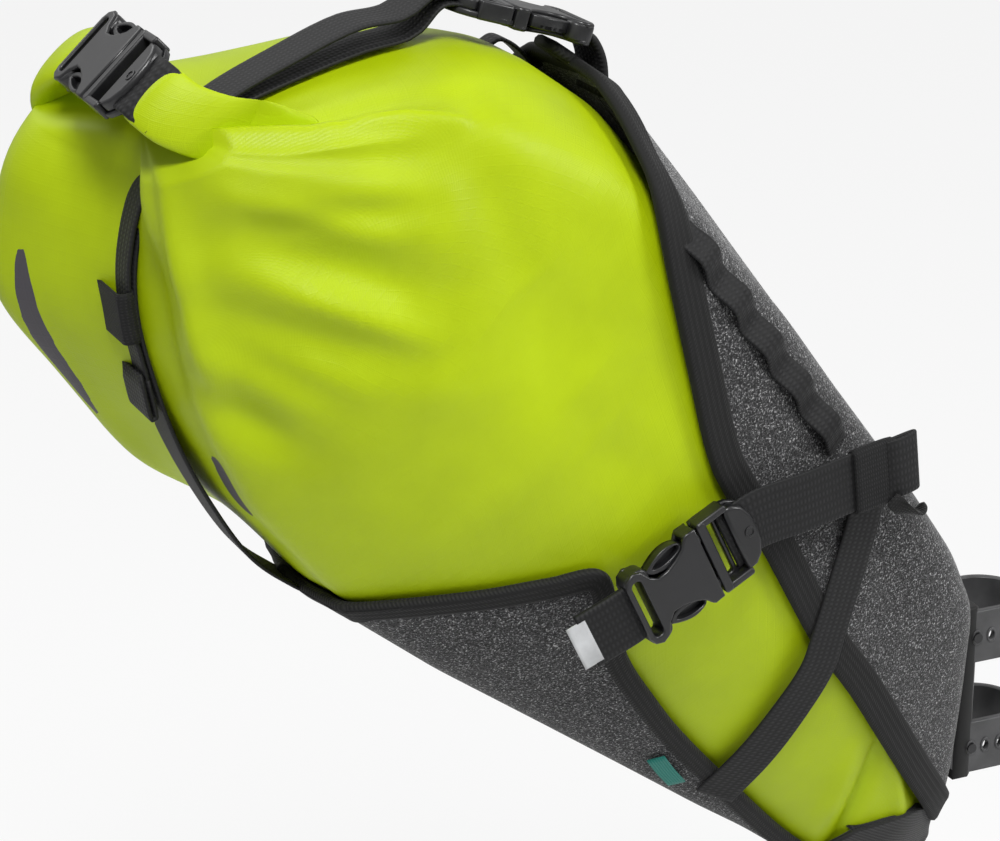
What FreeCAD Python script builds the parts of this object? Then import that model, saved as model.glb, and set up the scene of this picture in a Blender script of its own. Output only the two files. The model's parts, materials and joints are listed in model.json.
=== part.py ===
"""Bikepacking saddle bag: felt harness, roll-top dry bag, webbing and side-release buckles.

Millimetres. X points to the front of the bicycle, Y to its left and Z up along the seat post.
The origin is on the post's axis, half way between the two rubber straps. The bag leans back
from the post along BAG_ANGLE. The left side mirrors the right side (-Y).
"""
import FreeCAD, Part
import math
import os

from FreeCAD import Vector

# ---------------------------------------------------------------- driving dimensions
BAG_ANGLE = 47.0          # lean of the bag's long axis above the horizontal, degrees

# The filled dry bag, from the nose to the closed end: distance along the long axis, the bottom
# and the top above that axis, and half the width.
BAG_STATIONS = [
    (-26.0, -97.0, -68.0, 15.0),
    (0.0, -107.0, -43.0, 28.0),
    (30.0, -113.0, -15.0, 37.0),
    (60.0, -118.0, 13.0, 45.0),
    (90.0, -124.0, 20.0, 52.0),
    (130.0, -132.0, 26.0, 60.0),
    (180.0, -142.0, 31.0, 69.0),
    (240.0, -156.0, 36.0, 78.0),
    (300.0, -166.0, 41.0, 83.0),
    (360.0, -162.0, 44.0, 84.0),
    (405.0, -143.0, 32.0, 80.0),
    (440.0, -118.0, 3.0, 71.0),
    (472.0, -97.0, -36.0, 54.0),
]
TOP_SQUARENESS = 4.0      # superellipse power of a section's upper half
BOTTOM_SQUARENESS = 2.2   # and of its lower half
SECTION_POINTS = 24

SEATPOST_D = 31.6         # largest common seat post
RUBBER_T = 3.0
RUBBER_H = 24.0
STRAP_SPACING = 53.0      # between the two rubber straps
TAIL_L = 27.0             # free end of a rubber strap
TAB_RISE = 9.0            # root tab above the band
STUD_D = 3.6
STUD_HOLE_FIT = 1.4
PAD_GROOVE = 2.0

FELT_T = 3.0
STIFFENER_T = 1.2
SHEET_GAP = 0.4           # between the dry bag, the stiffener and the felt
FELT_GAP = STIFFENER_T + 2 * SHEET_GAP
BINDING_T = 0.8           # how far the binding stands over the felt
BINDING_W = 13.0
ROLL_T = 12.0             # rolled mouth at the closed end
ROLL_HALF = 38.0
ROLL_STIFF_T = 1.4
PAD_HALF_WIDTH = 19.0

WEB_W = 25.0              # webbing of the buckles
WEB_T = 1.6
Y_WEB_W = 20.0
DAISY_W = 11.0
DAISY_RISE = 3.4
WEB_GAP = 0.9             # webbing above what it lies on
LAYER_GAP = 0.6           # between two layers of webbing
SLACK_L = 23.0            # webbing beside a plug, which folds up as the plug pulls out

BUCKLE_W = WEB_W + 9.0
BUCKLE_T = 9.0
FEMALE_L = 36.0           # socket, from its mouth to the end of its webbing bar
MALE_L = 24.0             # plug outside the mouth
SHELL_T = 2.0             # the socket's two face plates
SIDE_WALL = 3.5           # the socket's side walls
SLOT_FIT = 0.5            # webbing slot, wider than the webbing on each side
LADDER_SLOTS = (5.5, 13.0)  # where the plug's two webbing slots start
LADDER_SLOT_L = 4.0
TONGUE_L = 16.0
TONGUE_DEPTH = 3.2        # the tongue's faces below the buckle's faces
ARM_L = 23.0
ARM_FIT = 0.4
MOUTH_L = 6.0
BARB_RISE = 1.6
TONGUE_W = 5.0
KNUCKLE_R = 2.1

KEEPER_L = 20.0
KEEPER_T = 1.4
KEEPER_FIT = 0.5
KEEPER_UP = 29.0          # rear keeper, along the strap's straight part up the closed end

os.makedirs("parts", exist_ok=True)

# ---------------------------------------------------------------- frame of the bag
ANGLE = math.radians(BAG_ANGLE)
ALONG = Vector(-math.cos(ANGLE), 0, math.sin(ANGLE))
ACROSS = Vector(math.sin(ANGLE), 0, math.cos(ANGLE))
FELT_OUT = FELT_GAP + FELT_T
BINDING_OUT = FELT_OUT + BINDING_T


def bag_point(along, across, y=0.0):
    """The point at these distances along and across the bag's long axis."""
    return ALONG * along + ACROSS * across + Vector(0, y, 0)


def station(along, grown=0.0):
    """Bottom, top and half width of the bag at a distance along it, grown outwards."""
    rows = BAG_STATIONS
    along = min(max(along, rows[0][0]), rows[-1][0])
    for low, high in zip(rows, rows[1:]):
        if along <= high[0]:
            share = (along - low[0]) / (high[0] - low[0])
            values = [p + (q - p) * share for p, q in zip(low[1:], high[1:])]
            break
    return values[0] - grown, values[1] + grown, values[2] + grown


def section(along, grown, shift=0.0):
    """Closed superellipse across the bag, flatter on top than below."""
    bottom, top, half = station(along, grown)
    middle = (bottom + top) / 2
    rise = (top - bottom) / 2
    points = []
    for i in range(SECTION_POINTS):
        turn = 2 * math.pi * i / SECTION_POINTS
        c, s = math.cos(turn), math.sin(turn)
        power = 2 / (TOP_SQUARENESS if s > 0 else BOTTOM_SQUARENESS)
        y = half * math.copysign(abs(c) ** power, c)
        points.append(bag_point(along + shift, middle + rise * math.copysign(abs(s) ** power, s), y))
    curve = Part.BSplineCurve()
    curve.interpolate(points, PeriodicFlag=True)
    return Part.Wire(curve.toShape())


def bag_solid(grown=0.0):
    """The filled bag, grown outwards all round."""
    first, last = BAG_STATIONS[0][0], BAG_STATIONS[-1][0]
    wires = [section(first, grown, -grown)] if grown else []
    wires += [section(row[0], grown) for row in BAG_STATIONS]
    wires += [section(last, grown, grown)] if grown else []
    return Part.makeLoft(wires, True, True)


def side_y(x, z, grown):
    """How far out the bag's right side is at this height, as a positive number."""
    spot = Vector(x, 0, z)
    along, across = spot.dot(ALONG), spot.dot(ACROSS)
    bottom, top, half = station(along, grown)
    middle, rise = (bottom + top) / 2, (top - bottom) / 2
    share = min(abs(across - middle) / rise, 0.98)
    power = TOP_SQUARENESS if across > middle else BOTTOM_SQUARENESS
    return half * (1 - share ** power) ** (1 / power)


# ---------------------------------------------------------------- helpers
PIECES = {}


def keep(name, shape):
    """Writes one piece and remembers it."""
    PIECES[name] = shape
    shape.exportStep("parts/" + name + ".step")


def mirrored(shape):
    """The same piece on the other side of the bicycle."""
    return shape.mirror(Vector(0, 0, 0), Vector(0, 1, 0))


def keep_pair(name, shape):
    """A right piece and its mirrored left twin."""
    keep(name + "_right", shape)
    keep(name + "_left", mirrored(shape))


def plate(outline, y_low, y_high):
    """A side-view outline of (x, z) corners, made solid between two values of Y."""
    corners = [Vector(x, y_low, z) for x, z in outline]
    face = Part.Face(Part.makePolygon(corners + corners[:1]))
    return face.extrude(Vector(0, y_high - y_low, 0))


def block(low, high):
    """A box between two corners."""
    size = [b - a for a, b in zip(low, high)]
    return Part.makeBox(size[0], size[1], size[2], Vector(*low))


def ribbon(path, width, thickness, y=0.0):
    """Webbing that runs along (x, z) points on the centre plane; thickness grows to its left."""
    inner = [Vector(x, 0, z) for x, z in path]
    outer = []
    for i, spot in enumerate(inner):
        back = spot - inner[i - 1] if i else inner[1] - spot
        ahead = inner[i + 1] - spot if i + 1 < len(inner) else back
        run = (back.normalize() + ahead.normalize()).normalize()
        normal = Vector(-run.z, 0, run.x)
        outer.append(spot + normal * (thickness / max(normal.dot(Vector(-back.z, 0, back.x)), 0.5)))
    corners = [(p.x, p.z) for p in inner + outer[::-1]]
    return plate(corners, y - width / 2, y + width / 2)


def offset_path(path, distance):
    """The same (x, z) path moved to its left."""
    moved = []
    for i, (x, z) in enumerate(path):
        before = path[max(i - 1, 0)]
        after = path[min(i + 1, len(path) - 1)]
        length = math.hypot(after[0] - before[0], after[1] - before[1])
        moved.append((x - (after[1] - before[1]) / length * distance,
                      z + (after[0] - before[0]) / length * distance))
    return moved


def side_band(path, width, lifts, thickness):
    """Webbing on the right side along (x, z) points, each lifted by its own height off the bag."""
    wires = []
    left = offset_path(path, width / 2)
    right = offset_path(path, -width / 2)
    for a, b, lift in zip(left, right, lifts):
        ya = -side_y(a[0], a[1], lift)
        yb = -side_y(b[0], b[1], lift)
        corners = [Vector(a[0], ya, a[1]), Vector(b[0], yb, b[1]),
                   Vector(b[0], yb - thickness, b[1]), Vector(a[0], ya - thickness, a[1])]
        wires.append(Part.makePolygon(corners + corners[:1]))
    return Part.makeLoft(wires, True, True)


def placed(shape, origin, along, out):
    """Moves a piece from buckle axes (along, across, out) to where it belongs."""
    out = (out - along * out.dot(along)).normalize()
    across = out.cross(along)
    matrix = FreeCAD.Matrix(along.x, across.x, out.x, origin.x,
                            along.y, across.y, out.y, origin.y,
                            along.z, across.z, out.z, origin.z,
                            0, 0, 0, 1)
    copy = shape.copy()
    copy.transformShape(matrix, True)
    return copy


# ---------------------------------------------------------------- outlines in side view
FRONT_X = bag_point(BAG_STATIONS[3][0], BAG_STATIONS[3][2]).x
WING_REAR = [(-222, 318), (-214, 292), (-205, 243), (-180, 150), (-157, 116), (-125, 64), (-101, 33), (-31, -62)]
WING_OUTLINE = WING_REAR + [(-10, -62), (20, 40), (-60, 200), (-180, 340)]
SLING_TOP = [(-330, 108), (-276, 115), (-229, 118)]
SLING_FRONT = [(-221, 89), (-175, 26), (-148, -4), (-113, -41), (-76, -72)]
SLING_OUTLINE = SLING_TOP + SLING_FRONT + [(-90, -120), (-200, -60), (-345, 60)]
BOOT_OUTLINE = [(-76, -74), (-36, -64), (0, -80), (-20, -130), (-100, -125)]
CUFF_OUTLINE = [(-334, 113), (-306, 111), (-298, 60), (-350, 60), (-356, 104)]
STIFFENER_OUTLINE = [(-202, 310), (-196, 243), (-172, 152), (-118, 68), (-31, -52), (-10, -52), (20, 40),
                     (-60, 200), (-160, 340)]
REACH = 150.0


def band_outline(path, inside, outside):
    """A strip round an open (x, z) path."""
    return offset_path(path, inside) + offset_path(path, -outside)[::-1]


# ---------------------------------------------------------------- soft bodies
dry_bag = bag_solid()
keep("dry_bag", dry_bag)

felt = bag_solid(FELT_OUT).cut(bag_solid(FELT_GAP))
wing = felt.common(plate(WING_OUTLINE, -REACH, REACH))
sling = felt.common(plate(SLING_OUTLINE, -REACH, REACH))
boot = felt.common(plate(BOOT_OUTLINE, -REACH, REACH)).cut(plate(SLING_OUTLINE, -REACH, REACH))
binding_skin = bag_solid(BINDING_OUT).cut(bag_solid(FELT_OUT))
wing_binding = binding_skin.common(plate(band_outline(WING_REAR, BINDING_W, 0), -REACH, REACH))
sling_edge = SLING_TOP + SLING_FRONT
sling_binding = binding_skin.common(plate(band_outline(sling_edge, 0, BINDING_W), -REACH, REACH))
cuff = binding_skin.common(plate(CUFF_OUTLINE, -REACH, REACH)).cut(sling_binding)
stiffener = bag_solid(SHEET_GAP + STIFFENER_T).cut(bag_solid(SHEET_GAP))
stiffener = stiffener.common(plate(STIFFENER_OUTLINE, -REACH, REACH))
keep("harness_upper_shell", wing)
keep("harness_lower_sling", sling)
keep("nose_boot", boot)
keep("stiffener_sheet", stiffener)
keep("upper_binding", wing_binding)
keep("lower_binding", sling_binding)
keep("tail_cuff", cuff)

# ---------------------------------------------------------------- seat post end
POST_R = SEATPOST_D / 2
PAD_BACK = FRONT_X + FELT_OUT * 1.4 + 0.5
PAD_FRONT = -POST_R + PAD_GROOVE
PAD_Z = (-41.0, 41.0)
STUD_X = -15.0
STRAP_HEIGHTS = {"upper": STRAP_SPACING / 2, "lower": -STRAP_SPACING / 2}


def rubber_loop():
    """The rubber band from its root on the left, round the front of the post, to where it bends."""
    half = RUBBER_H / 2
    ring = Part.makeCylinder(POST_R + RUBBER_T, RUBBER_H, Vector(0, 0, -half), Vector(0, 0, 1), 178)
    ring = ring.cut(Part.makeCylinder(POST_R, RUBBER_H + 2, Vector(0, 0, -half - 1)))
    ring.rotate(Vector(0, 0, 0), Vector(0, 0, 1), -88)
    side = block((PAD_FRONT + 0.2, POST_R, -half), (0, POST_R + RUBBER_T, half))
    tab = block((PAD_BACK + 1, POST_R, -half), (PAD_FRONT + 3, POST_R + RUBBER_T, half + TAB_RISE))
    tab = tab.makeFillet(3.0, [e for e in tab.Edges if e.Length < RUBBER_T + 0.1 and e.CenterOfMass.z > half])
    return ring.fuse(side).fuse(tab).removeSplitter()


def rubber_end():
    """The free end with its adjustment holes and rounded pull tab, on the right of the post."""
    half = RUBBER_H / 2
    band = block((-TAIL_L, -POST_R - RUBBER_T, -half), (-0.2, -POST_R, half))
    band = band.makeFillet(5.0, [e for e in band.Edges if e.Length < RUBBER_T + 0.1
                                 and e.CenterOfMass.x < -TAIL_L + 1])
    for x in (STUD_X + 7, STUD_X, STUD_X - 7):
        hole = Part.makeCylinder(STUD_D / 2 + STUD_HOLE_FIT, 20, Vector(x, 0, 0), Vector(0, -1, 0))
        band = band.cut(hole)
    return band


def stud_anchor():
    """Moulded plate on the pad's right edge with the stud that the band hooks on."""
    base = block((PAD_BACK + 1, -POST_R + 0.4, -9), (STUD_X + 3.5, -POST_R + 3.4, 9))
    back = Vector(STUD_X, -POST_R + 2, 0)
    stud = Part.makeCylinder(STUD_D / 2, RUBBER_T + 3.5, back, Vector(0, -1, 0))
    cap = Part.makeCylinder(STUD_D / 2 + 0.4, 1.0, back + Vector(0, -RUBBER_T - 2.5, 0), Vector(0, -1, 0))
    return base.fuse(stud).fuse(cap).removeSplitter()


pad = block((PAD_BACK, -PAD_HALF_WIDTH, PAD_Z[0]), (PAD_FRONT, PAD_HALF_WIDTH, PAD_Z[1]))
pad = pad.makeFillet(4.0, [e for e in pad.Edges if abs(e.Length - (PAD_FRONT - PAD_BACK)) < 0.01])
pad = pad.cut(Part.makeCylinder(POST_R, 200, Vector(0, 0, -100)))
for name, height in STRAP_HEIGHTS.items():
    made = {"rubber_loop_": rubber_loop(), "rubber_end_": rubber_end(), "strap_stud_": stud_anchor()}
    for prefix, piece in made.items():
        piece.translate(Vector(0, 0, height))
        keep(prefix + name, piece)
    pad = pad.cut(made["rubber_loop_"]).cut(made["strap_stud_"])
    room = block((PAD_BACK - 1, -PAD_HALF_WIDTH - 1, height - RUBBER_H / 2 - 0.5),
                 (PAD_FRONT + 1, -POST_R + 0.4, height + RUBBER_H / 2 + 0.5))
    pad = pad.cut(room)
keep("seatpost_pad", pad)


# ---------------------------------------------------------------- side-release buckle
def female_half():
    """Socket half: shell with a mouth at 0, open side windows and a webbing bar."""
    half = BUCKLE_W / 2
    shell = block((-FEMALE_L, -half, 0), (0, half, BUCKLE_T))
    shell = shell.makeFillet(3.0, [e for e in shell.Edges if abs(e.Length - BUCKLE_T) < 0.01
                                   and e.CenterOfMass.x < -1])
    mouth_half = half - SIDE_WALL
    shell = shell.cut(block((-ARM_L - 3, -mouth_half, SHELL_T), (1, mouth_half, BUCKLE_T - SHELL_T)))
    for side in (-1, 1):
        low, high = sorted((side * (mouth_half - 1), side * (half + 1)))
        shell = shell.cut(block((-ARM_L - 1, low, -1), (-MOUTH_L, high, BUCKLE_T + 1)))
    slot_half = WEB_W / 2 + SLOT_FIT
    return shell.cut(block((-FEMALE_L + 3, -slot_half, -1), (-FEMALE_L + 7.5, slot_half, BUCKLE_T + 1)))


def male_half():
    """Plug half: ladder lock with two slots, a centre tongue and knuckle seats for its arms."""
    half = BUCKLE_W / 2
    body = block((0.5, -half, 0.5), (MALE_L, half, BUCKLE_T - 0.5))
    body = body.makeFillet(2.5, [e for e in body.Edges if abs(e.Length - BUCKLE_T + 1) < 0.01
                                 and e.CenterOfMass.x > 5])
    slot_half = WEB_W / 2 + SLOT_FIT
    for start in LADDER_SLOTS:
        body = body.cut(block((start, -slot_half, -1), (start + LADDER_SLOT_L, slot_half, BUCKLE_T + 1)))
    tongue = block((-TONGUE_L, -TONGUE_W / 2, TONGUE_DEPTH), (2, TONGUE_W / 2, BUCKLE_T - TONGUE_DEPTH))
    body = body.fuse(tongue).removeSplitter()
    for side in (-1, 1):
        seat = Part.makeCylinder(KNUCKLE_R + 0.3, BUCKLE_T + 2, Vector(0, side * arm_root(), -1))
        body = body.cut(seat)
    return body


def arm_root():
    """Distance of an arm's knuckle from the buckle's centre line."""
    return BUCKLE_W / 2 - SIDE_WALL - ARM_FIT - KNUCKLE_R - 0.1


def spring_arm():
    """The leaf-shaped arm on the positive side, with its barb behind the mouth."""
    outer = BUCKLE_W / 2 - SIDE_WALL - ARM_FIT
    crest = outer + BARB_RISE
    outline = [(-0.5, outer), (-MOUTH_L, outer), (-13, crest), (-17, crest - 0.1), (-ARM_L, outer - 2.6),
               (-ARM_L, outer - 4.6), (-16, outer - 3.6), (-MOUTH_L, outer - 4.2), (-0.5, outer - 4.2)]
    low, high = SHELL_T + ARM_FIT, BUCKLE_T - SHELL_T - ARM_FIT
    corners = [Vector(x, y, low) for x, y in outline]
    leaf = Part.Face(Part.makePolygon(corners + corners[:1])).extrude(Vector(0, 0, high - low))
    knuckle = Part.makeCylinder(KNUCKLE_R, high - low, Vector(0, arm_root(), low))
    return leaf.fuse(knuckle).removeSplitter()


def buckle(name, origin, along, out):
    """The four pieces of one buckle by name; the plug pulls out the way 'along' points."""
    arm = spring_arm()
    other = arm.mirror(Vector(0, 0, 0), Vector(0, 1, 0))
    made = {"socket": female_half(), "plug": male_half(), "arm_a": arm, "arm_b": other}
    return {name + "_" + part: placed(shape, origin, along, out) for part, shape in made.items()}


SIDE_MOUTH = Vector(-190, -(side_y(-190, 120, BINDING_OUT) + 3.6), 120)
SIDE_ALONG = Vector(0.89, 0.08, 0.43).normalize()
SIDE_OUT = Vector(0, -1, 0)
for name, shape in buckle("side_buckle", SIDE_MOUTH, SIDE_ALONG, SIDE_OUT).items():
    keep_pair(name, shape)

TOP_ALONG = Vector(-0.955, 0, 0.295).normalize()
TOP_MOUTH = Vector(-238, 0, 317)
for name, shape in buckle("top_buckle", TOP_MOUTH, TOP_ALONG, Vector(0, 0, 1)).items():
    keep(name, shape)

ROLL_END = BAG_STATIONS[-1][0] + ROLL_T
ROLL_MOUTH = bag_point(ROLL_END + 6.5, -70, -4)
for name, shape in buckle("roll_buckle", ROLL_MOUTH, Vector(0, -1, 0), ALONG).items():
    keep(name, shape)

# ---------------------------------------------------------------- side webbing
WEB_LEVEL = BUCKLE_T / 2 - WEB_T / 2


def strip(start, end, out, width=WEB_W, thickness=WEB_T):
    """A straight flat strip between two points, its thickness growing along 'out'."""
    run = (end - start)
    length = run.Length
    run = run.normalize()
    return placed(block((0, -width / 2, 0), (length, width / 2, thickness)), start, run, out)


side_start = SIDE_MOUTH + SIDE_ALONG * (MALE_L + 2.4) + SIDE_OUT * WEB_LEVEL
side_end = Vector(-92, side_start.y + 13, side_start.z + 7)
side_run = (side_end - side_start).normalize()
slack_end = side_start + side_run * SLACK_L
keep_pair("side_slack", strip(side_start, slack_end, SIDE_OUT).cut(PIECES["side_buckle_plug_right"]))
keep_pair("side_strap", strip(slack_end + side_run * 0.2, side_end, SIDE_OUT))
tip = strip(side_end + side_run * 0.3, side_end + side_run * 14, SIDE_OUT)
tip = tip.fuse(strip(side_end + side_run * 0.3 + SIDE_OUT * 1.6, side_end + side_run * 14 + SIDE_OUT * 1.6,
                     SIDE_OUT)).removeSplitter()
keep_pair("side_strap_tip", tip)


def keeper(width, layers):
    """A closed elastic loop round webbing that runs along its first axis, centred on it."""
    inner_w, inner_t = width / 2 + KEEPER_FIT, layers / 2 + KEEPER_FIT
    outer_w, outer_t = inner_w + KEEPER_T, inner_t + KEEPER_T
    loop = block((-KEEPER_L / 2, -outer_w, -outer_t), (KEEPER_L / 2, outer_w, outer_t))
    return loop.cut(block((-KEEPER_L, -inner_w, -inner_t), (KEEPER_L, inner_w, inner_t)))


side_keeper_at = side_start + side_run * ((side_end - side_start).Length - 16) + SIDE_OUT * (WEB_T / 2)
keep_pair("side_keeper", placed(keeper(WEB_W, WEB_T), side_keeper_at, side_run, SIDE_OUT))

stub_inner = SIDE_MOUTH - SIDE_ALONG * (FEMALE_L + 0.5) + SIDE_OUT * WEB_LEVEL
stub_outer = stub_inner - SIDE_ALONG * 20
stub = strip(stub_outer, stub_inner, SIDE_OUT, WEB_W, WEB_T * 2)
keep_pair("side_stub", stub)
tab_start = stub_outer - SIDE_ALONG * 0.5
keep_pair("reflective_tab", strip(tab_start - SIDE_ALONG * 8, tab_start, SIDE_OUT, WEB_W - 4, 0.6))

over_binding = BINDING_OUT + WEB_GAP
Y_WEB_PATH = [(-106, 112), (-111, 92), (-117, 72), (-123, 52), (-132, 34), (-141, 14), (-150, -6)]
y_web = side_band(Y_WEB_PATH, Y_WEB_W, [over_binding] * len(Y_WEB_PATH), WEB_T)
keep_pair("y_web", y_web)
DAISY_LOOPS = 5
daisy_start, daisy_end = (-196, 240), (-128, 156)
daisy_path, daisy_lifts = [], []
for i in range(DAISY_LOOPS * 4 + 1):
    share = i / (DAISY_LOOPS * 4)
    daisy_path.append((daisy_start[0] + (daisy_end[0] - daisy_start[0]) * share,
                       daisy_start[1] + (daisy_end[1] - daisy_start[1]) * share))
    daisy_lifts.append(over_binding + DAISY_RISE * math.sin(math.pi * share * DAISY_LOOPS) ** 2)
keep_pair("daisy_chain", side_band(daisy_path, DAISY_W, daisy_lifts, WEB_T))
LABEL_PATH = [(-180, 14), (-171, 4)]
label = side_band(LABEL_PATH, 8, [BINDING_OUT + WEB_GAP] * 2, 0.6)
keep("side_label", label)

# ---------------------------------------------------------------- centre strap
STRAP_GAP = BINDING_OUT + 1.0
STRAP_FROM = 300.0        # the strap leaves the tail cuff here, along the bag


def bottom_line(along, lift):
    """(x, z) on the bag's underside at the centre plane."""
    spot = bag_point(along, station(along)[0] - lift)
    return spot.x, spot.z


def top_line(along, lift):
    """(x, z) on the bag's top at the centre plane."""
    spot = bag_point(along, station(along)[1] + lift)
    return spot.x, spot.z


def strap_route(lift):
    """From the harness's tail, up the underside, round the closed end and forward over the top."""
    route = [bottom_line(row[0], lift) for row in BAG_STATIONS if row[0] >= STRAP_FROM]
    over = ROLL_END + 1.0
    for across in (BAG_STATIONS[-1][1] + 4, BAG_STATIONS[-1][2] - 4):
        spot = bag_point(over, across)
        route.append((spot.x, spot.z))
    return route + [top_line(row[0], lift + 2) for row in BAG_STATIONS[-1:-3:-1]]


main_route = strap_route(STRAP_GAP)
tail_route = offset_path(main_route, WEB_T + LAYER_GAP)[2:]
keep("centre_strap", ribbon(main_route, WEB_W, WEB_T))
keep("centre_strap_tail", ribbon(tail_route, WEB_W, WEB_T))
lock = TOP_MOUTH + TOP_ALONG * (MALE_L + 1.5) + Vector(0, 0, 1) * (WEB_LEVEL - 1)
lock_gap = offset_path([main_route[-1], (lock.x, lock.z)], WEB_T + LAYER_GAP)[1]
slack = ribbon([(main_route[-1][0] + 0.3, main_route[-1][1]), (lock.x, lock.z)], WEB_W, WEB_T)
slack_tail = ribbon([(tail_route[-1][0] + 0.3, tail_route[-1][1]), lock_gap], WEB_W, WEB_T)
keep("centre_slack", Part.makeCompound([slack, slack_tail]).cut(PIECES["top_buckle_plug"]))

socket_end = TOP_MOUTH - TOP_ALONG * (FEMALE_L + 1.2)
stub_path = [(-172, 260), (-186, 284), (-194, 303), (socket_end.x + 0.5, socket_end.z + 2)]
keep("top_stub", ribbon(stub_path, WEB_W, -2 * WEB_T).cut(PIECES["top_buckle_socket"]))

keeper_foot = bottom_line(405.0, STRAP_GAP)
keeper_head = bottom_line(440.0, STRAP_GAP)
rear_run = Vector(keeper_head[0] - keeper_foot[0], 0, keeper_head[1] - keeper_foot[1]).normalize()
rear_out = Vector(-rear_run.z, 0, rear_run.x)
stack = 2 * WEB_T + LAYER_GAP
rear_keeper_at = Vector(keeper_foot[0], 0, keeper_foot[1]) + rear_run * KEEPER_UP + rear_out * (stack / 2)
keep("rear_keeper", placed(keeper(WEB_W, stack), rear_keeper_at, rear_run, rear_out))

# ---------------------------------------------------------------- roll-top closure
roll_low, roll_high = BAG_STATIONS[-1][1] + 3, BAG_STATIONS[-1][2] - 3


def bag_block(along, across, y):
    """A box in the bag's own directions, between pairs of distances."""
    size = Part.makeBox(along[1] - along[0], across[1] - across[0], y[1] - y[0])
    matrix = FreeCAD.Matrix(ALONG.x, ACROSS.x, 0, 0, 0, 0, 1, 0, ALONG.z, ACROSS.z, 0, 0, 0, 0, 0, 1)
    size.translate(Vector(along[0], across[0], y[0]))
    size.transformShape(matrix, True)
    return size


end_along = BAG_STATIONS[-1][0]
roll = bag_block((end_along + 0.4, end_along + ROLL_T), (roll_low, roll_high), (-ROLL_HALF, ROLL_HALF))
roll = roll.makeFillet(4.5, [e for e in roll.Edges if abs(e.Length - 2 * ROLL_HALF) < 0.01])
middle = end_along + ROLL_T / 2
strip_box = ((middle - ROLL_STIFF_T / 2, middle + ROLL_STIFF_T / 2), (roll_low + 12, roll_high - 12),
             (-ROLL_HALF + 4, ROLL_HALF - 4))
roll_stiffener = bag_block(*strip_box)
keep("roll_stiffener", roll_stiffener)
keep("rolled_mouth", roll.cut(roll_stiffener))


def ear():
    """The right end of the rolled mouth, from the bag's shoulder to the buckle's tab."""
    rows = [(436, 6, -48, 10, 5), (456, -14, -58, 17, 8), (476, -42, -66, 17, 9), (488, -66, -64, 13, 8)]
    wires = []
    for along, across, y, wide, thick in rows:
        corners = []
        for i in range(12):
            turn = 2 * math.pi * i / 12
            corners.append(bag_point(along + thick * math.sin(turn), across, y + wide * math.cos(turn)))
        wires.append(Part.makePolygon(corners + corners[:1]))
    return Part.makeLoft(wires, True, True)


right_ear = ear().cut(bag_solid(0.4)).cut(roll)
if right_ear.Volume < 0:
    right_ear.reverse()
left_ear = mirrored(right_ear)
keep("roll_ear_right", right_ear)
keep("roll_ear_left", left_ear)
tab_low = ROLL_MOUTH - Vector(0, 1, 0) * (MALE_L + 0.6) + ALONG * WEB_LEVEL
keep("roll_tab_right", strip(tab_low, tab_low - Vector(0, 26, 0), ALONG).cut(right_ear))
tab_high = ROLL_MOUTH + Vector(0, 1, 0) * (FEMALE_L + 0.6) + ALONG * WEB_LEVEL
keep("roll_tab_left", strip(tab_high, tab_high + Vector(0, 22, 0), ALONG).cut(left_ear))

for name, piece in PIECES.items():
    box = piece.BoundBox
    print("%-24s solids %d valid %s vol %9.1f  x %6.1f %6.1f  y %6.1f %6.1f  z %6.1f %6.1f" % (
        name, len(piece.Solids), piece.isValid(), piece.Volume,
        box.XMin, box.XMax, box.YMin, box.YMax, box.ZMin, box.ZMax))
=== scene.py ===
"""Bikepacking saddle bag: felt harness, green roll-top dry bag, webbing and buckles, in metres."""
import json
import math

import bmesh
import bpy
import numpy as np
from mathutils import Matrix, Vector


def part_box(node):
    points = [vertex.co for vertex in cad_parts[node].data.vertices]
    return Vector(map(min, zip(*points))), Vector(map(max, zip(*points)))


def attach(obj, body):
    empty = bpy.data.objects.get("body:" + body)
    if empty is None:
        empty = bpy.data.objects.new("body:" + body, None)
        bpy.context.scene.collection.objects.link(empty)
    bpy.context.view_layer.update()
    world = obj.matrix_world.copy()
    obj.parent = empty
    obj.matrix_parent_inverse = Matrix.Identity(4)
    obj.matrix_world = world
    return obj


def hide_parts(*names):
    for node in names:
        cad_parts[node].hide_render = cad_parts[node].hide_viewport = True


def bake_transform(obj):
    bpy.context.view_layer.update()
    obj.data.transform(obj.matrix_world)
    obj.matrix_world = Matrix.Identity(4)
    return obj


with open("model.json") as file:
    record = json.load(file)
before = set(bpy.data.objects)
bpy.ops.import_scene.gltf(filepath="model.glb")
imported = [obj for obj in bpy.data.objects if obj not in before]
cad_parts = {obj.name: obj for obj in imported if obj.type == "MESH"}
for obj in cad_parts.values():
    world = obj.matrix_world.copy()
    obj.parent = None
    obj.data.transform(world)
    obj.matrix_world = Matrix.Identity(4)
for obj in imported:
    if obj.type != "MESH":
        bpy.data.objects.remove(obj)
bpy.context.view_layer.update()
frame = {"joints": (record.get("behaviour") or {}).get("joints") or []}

bl_info = {
    "name": "Saddle Bag Builder",
    "version": (1, 0, 0),
    "blender": (4, 5, 0),
    "location": "View3D > Sidebar > Saddle Bag",
    "description": "Builds a felt harness with a roll-top dry bag around its packed frame",
    "category": "Add Mesh",
}

MM = 0.001
RIGHT, LEFT = -1.0, 1.0

# ---------------------------------------------------------------- shape of the filled bag
# The bag leans back along ALONG; ACROSS points from its underside to its top.
LEAN = math.radians(47.0)
ALONG = np.array([-math.cos(LEAN), 0.0, math.sin(LEAN)])
ACROSS = np.array([math.sin(LEAN), 0.0, math.cos(LEAN)])
SIDEWAYS = np.array([0.0, 1.0, 0.0])

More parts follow.
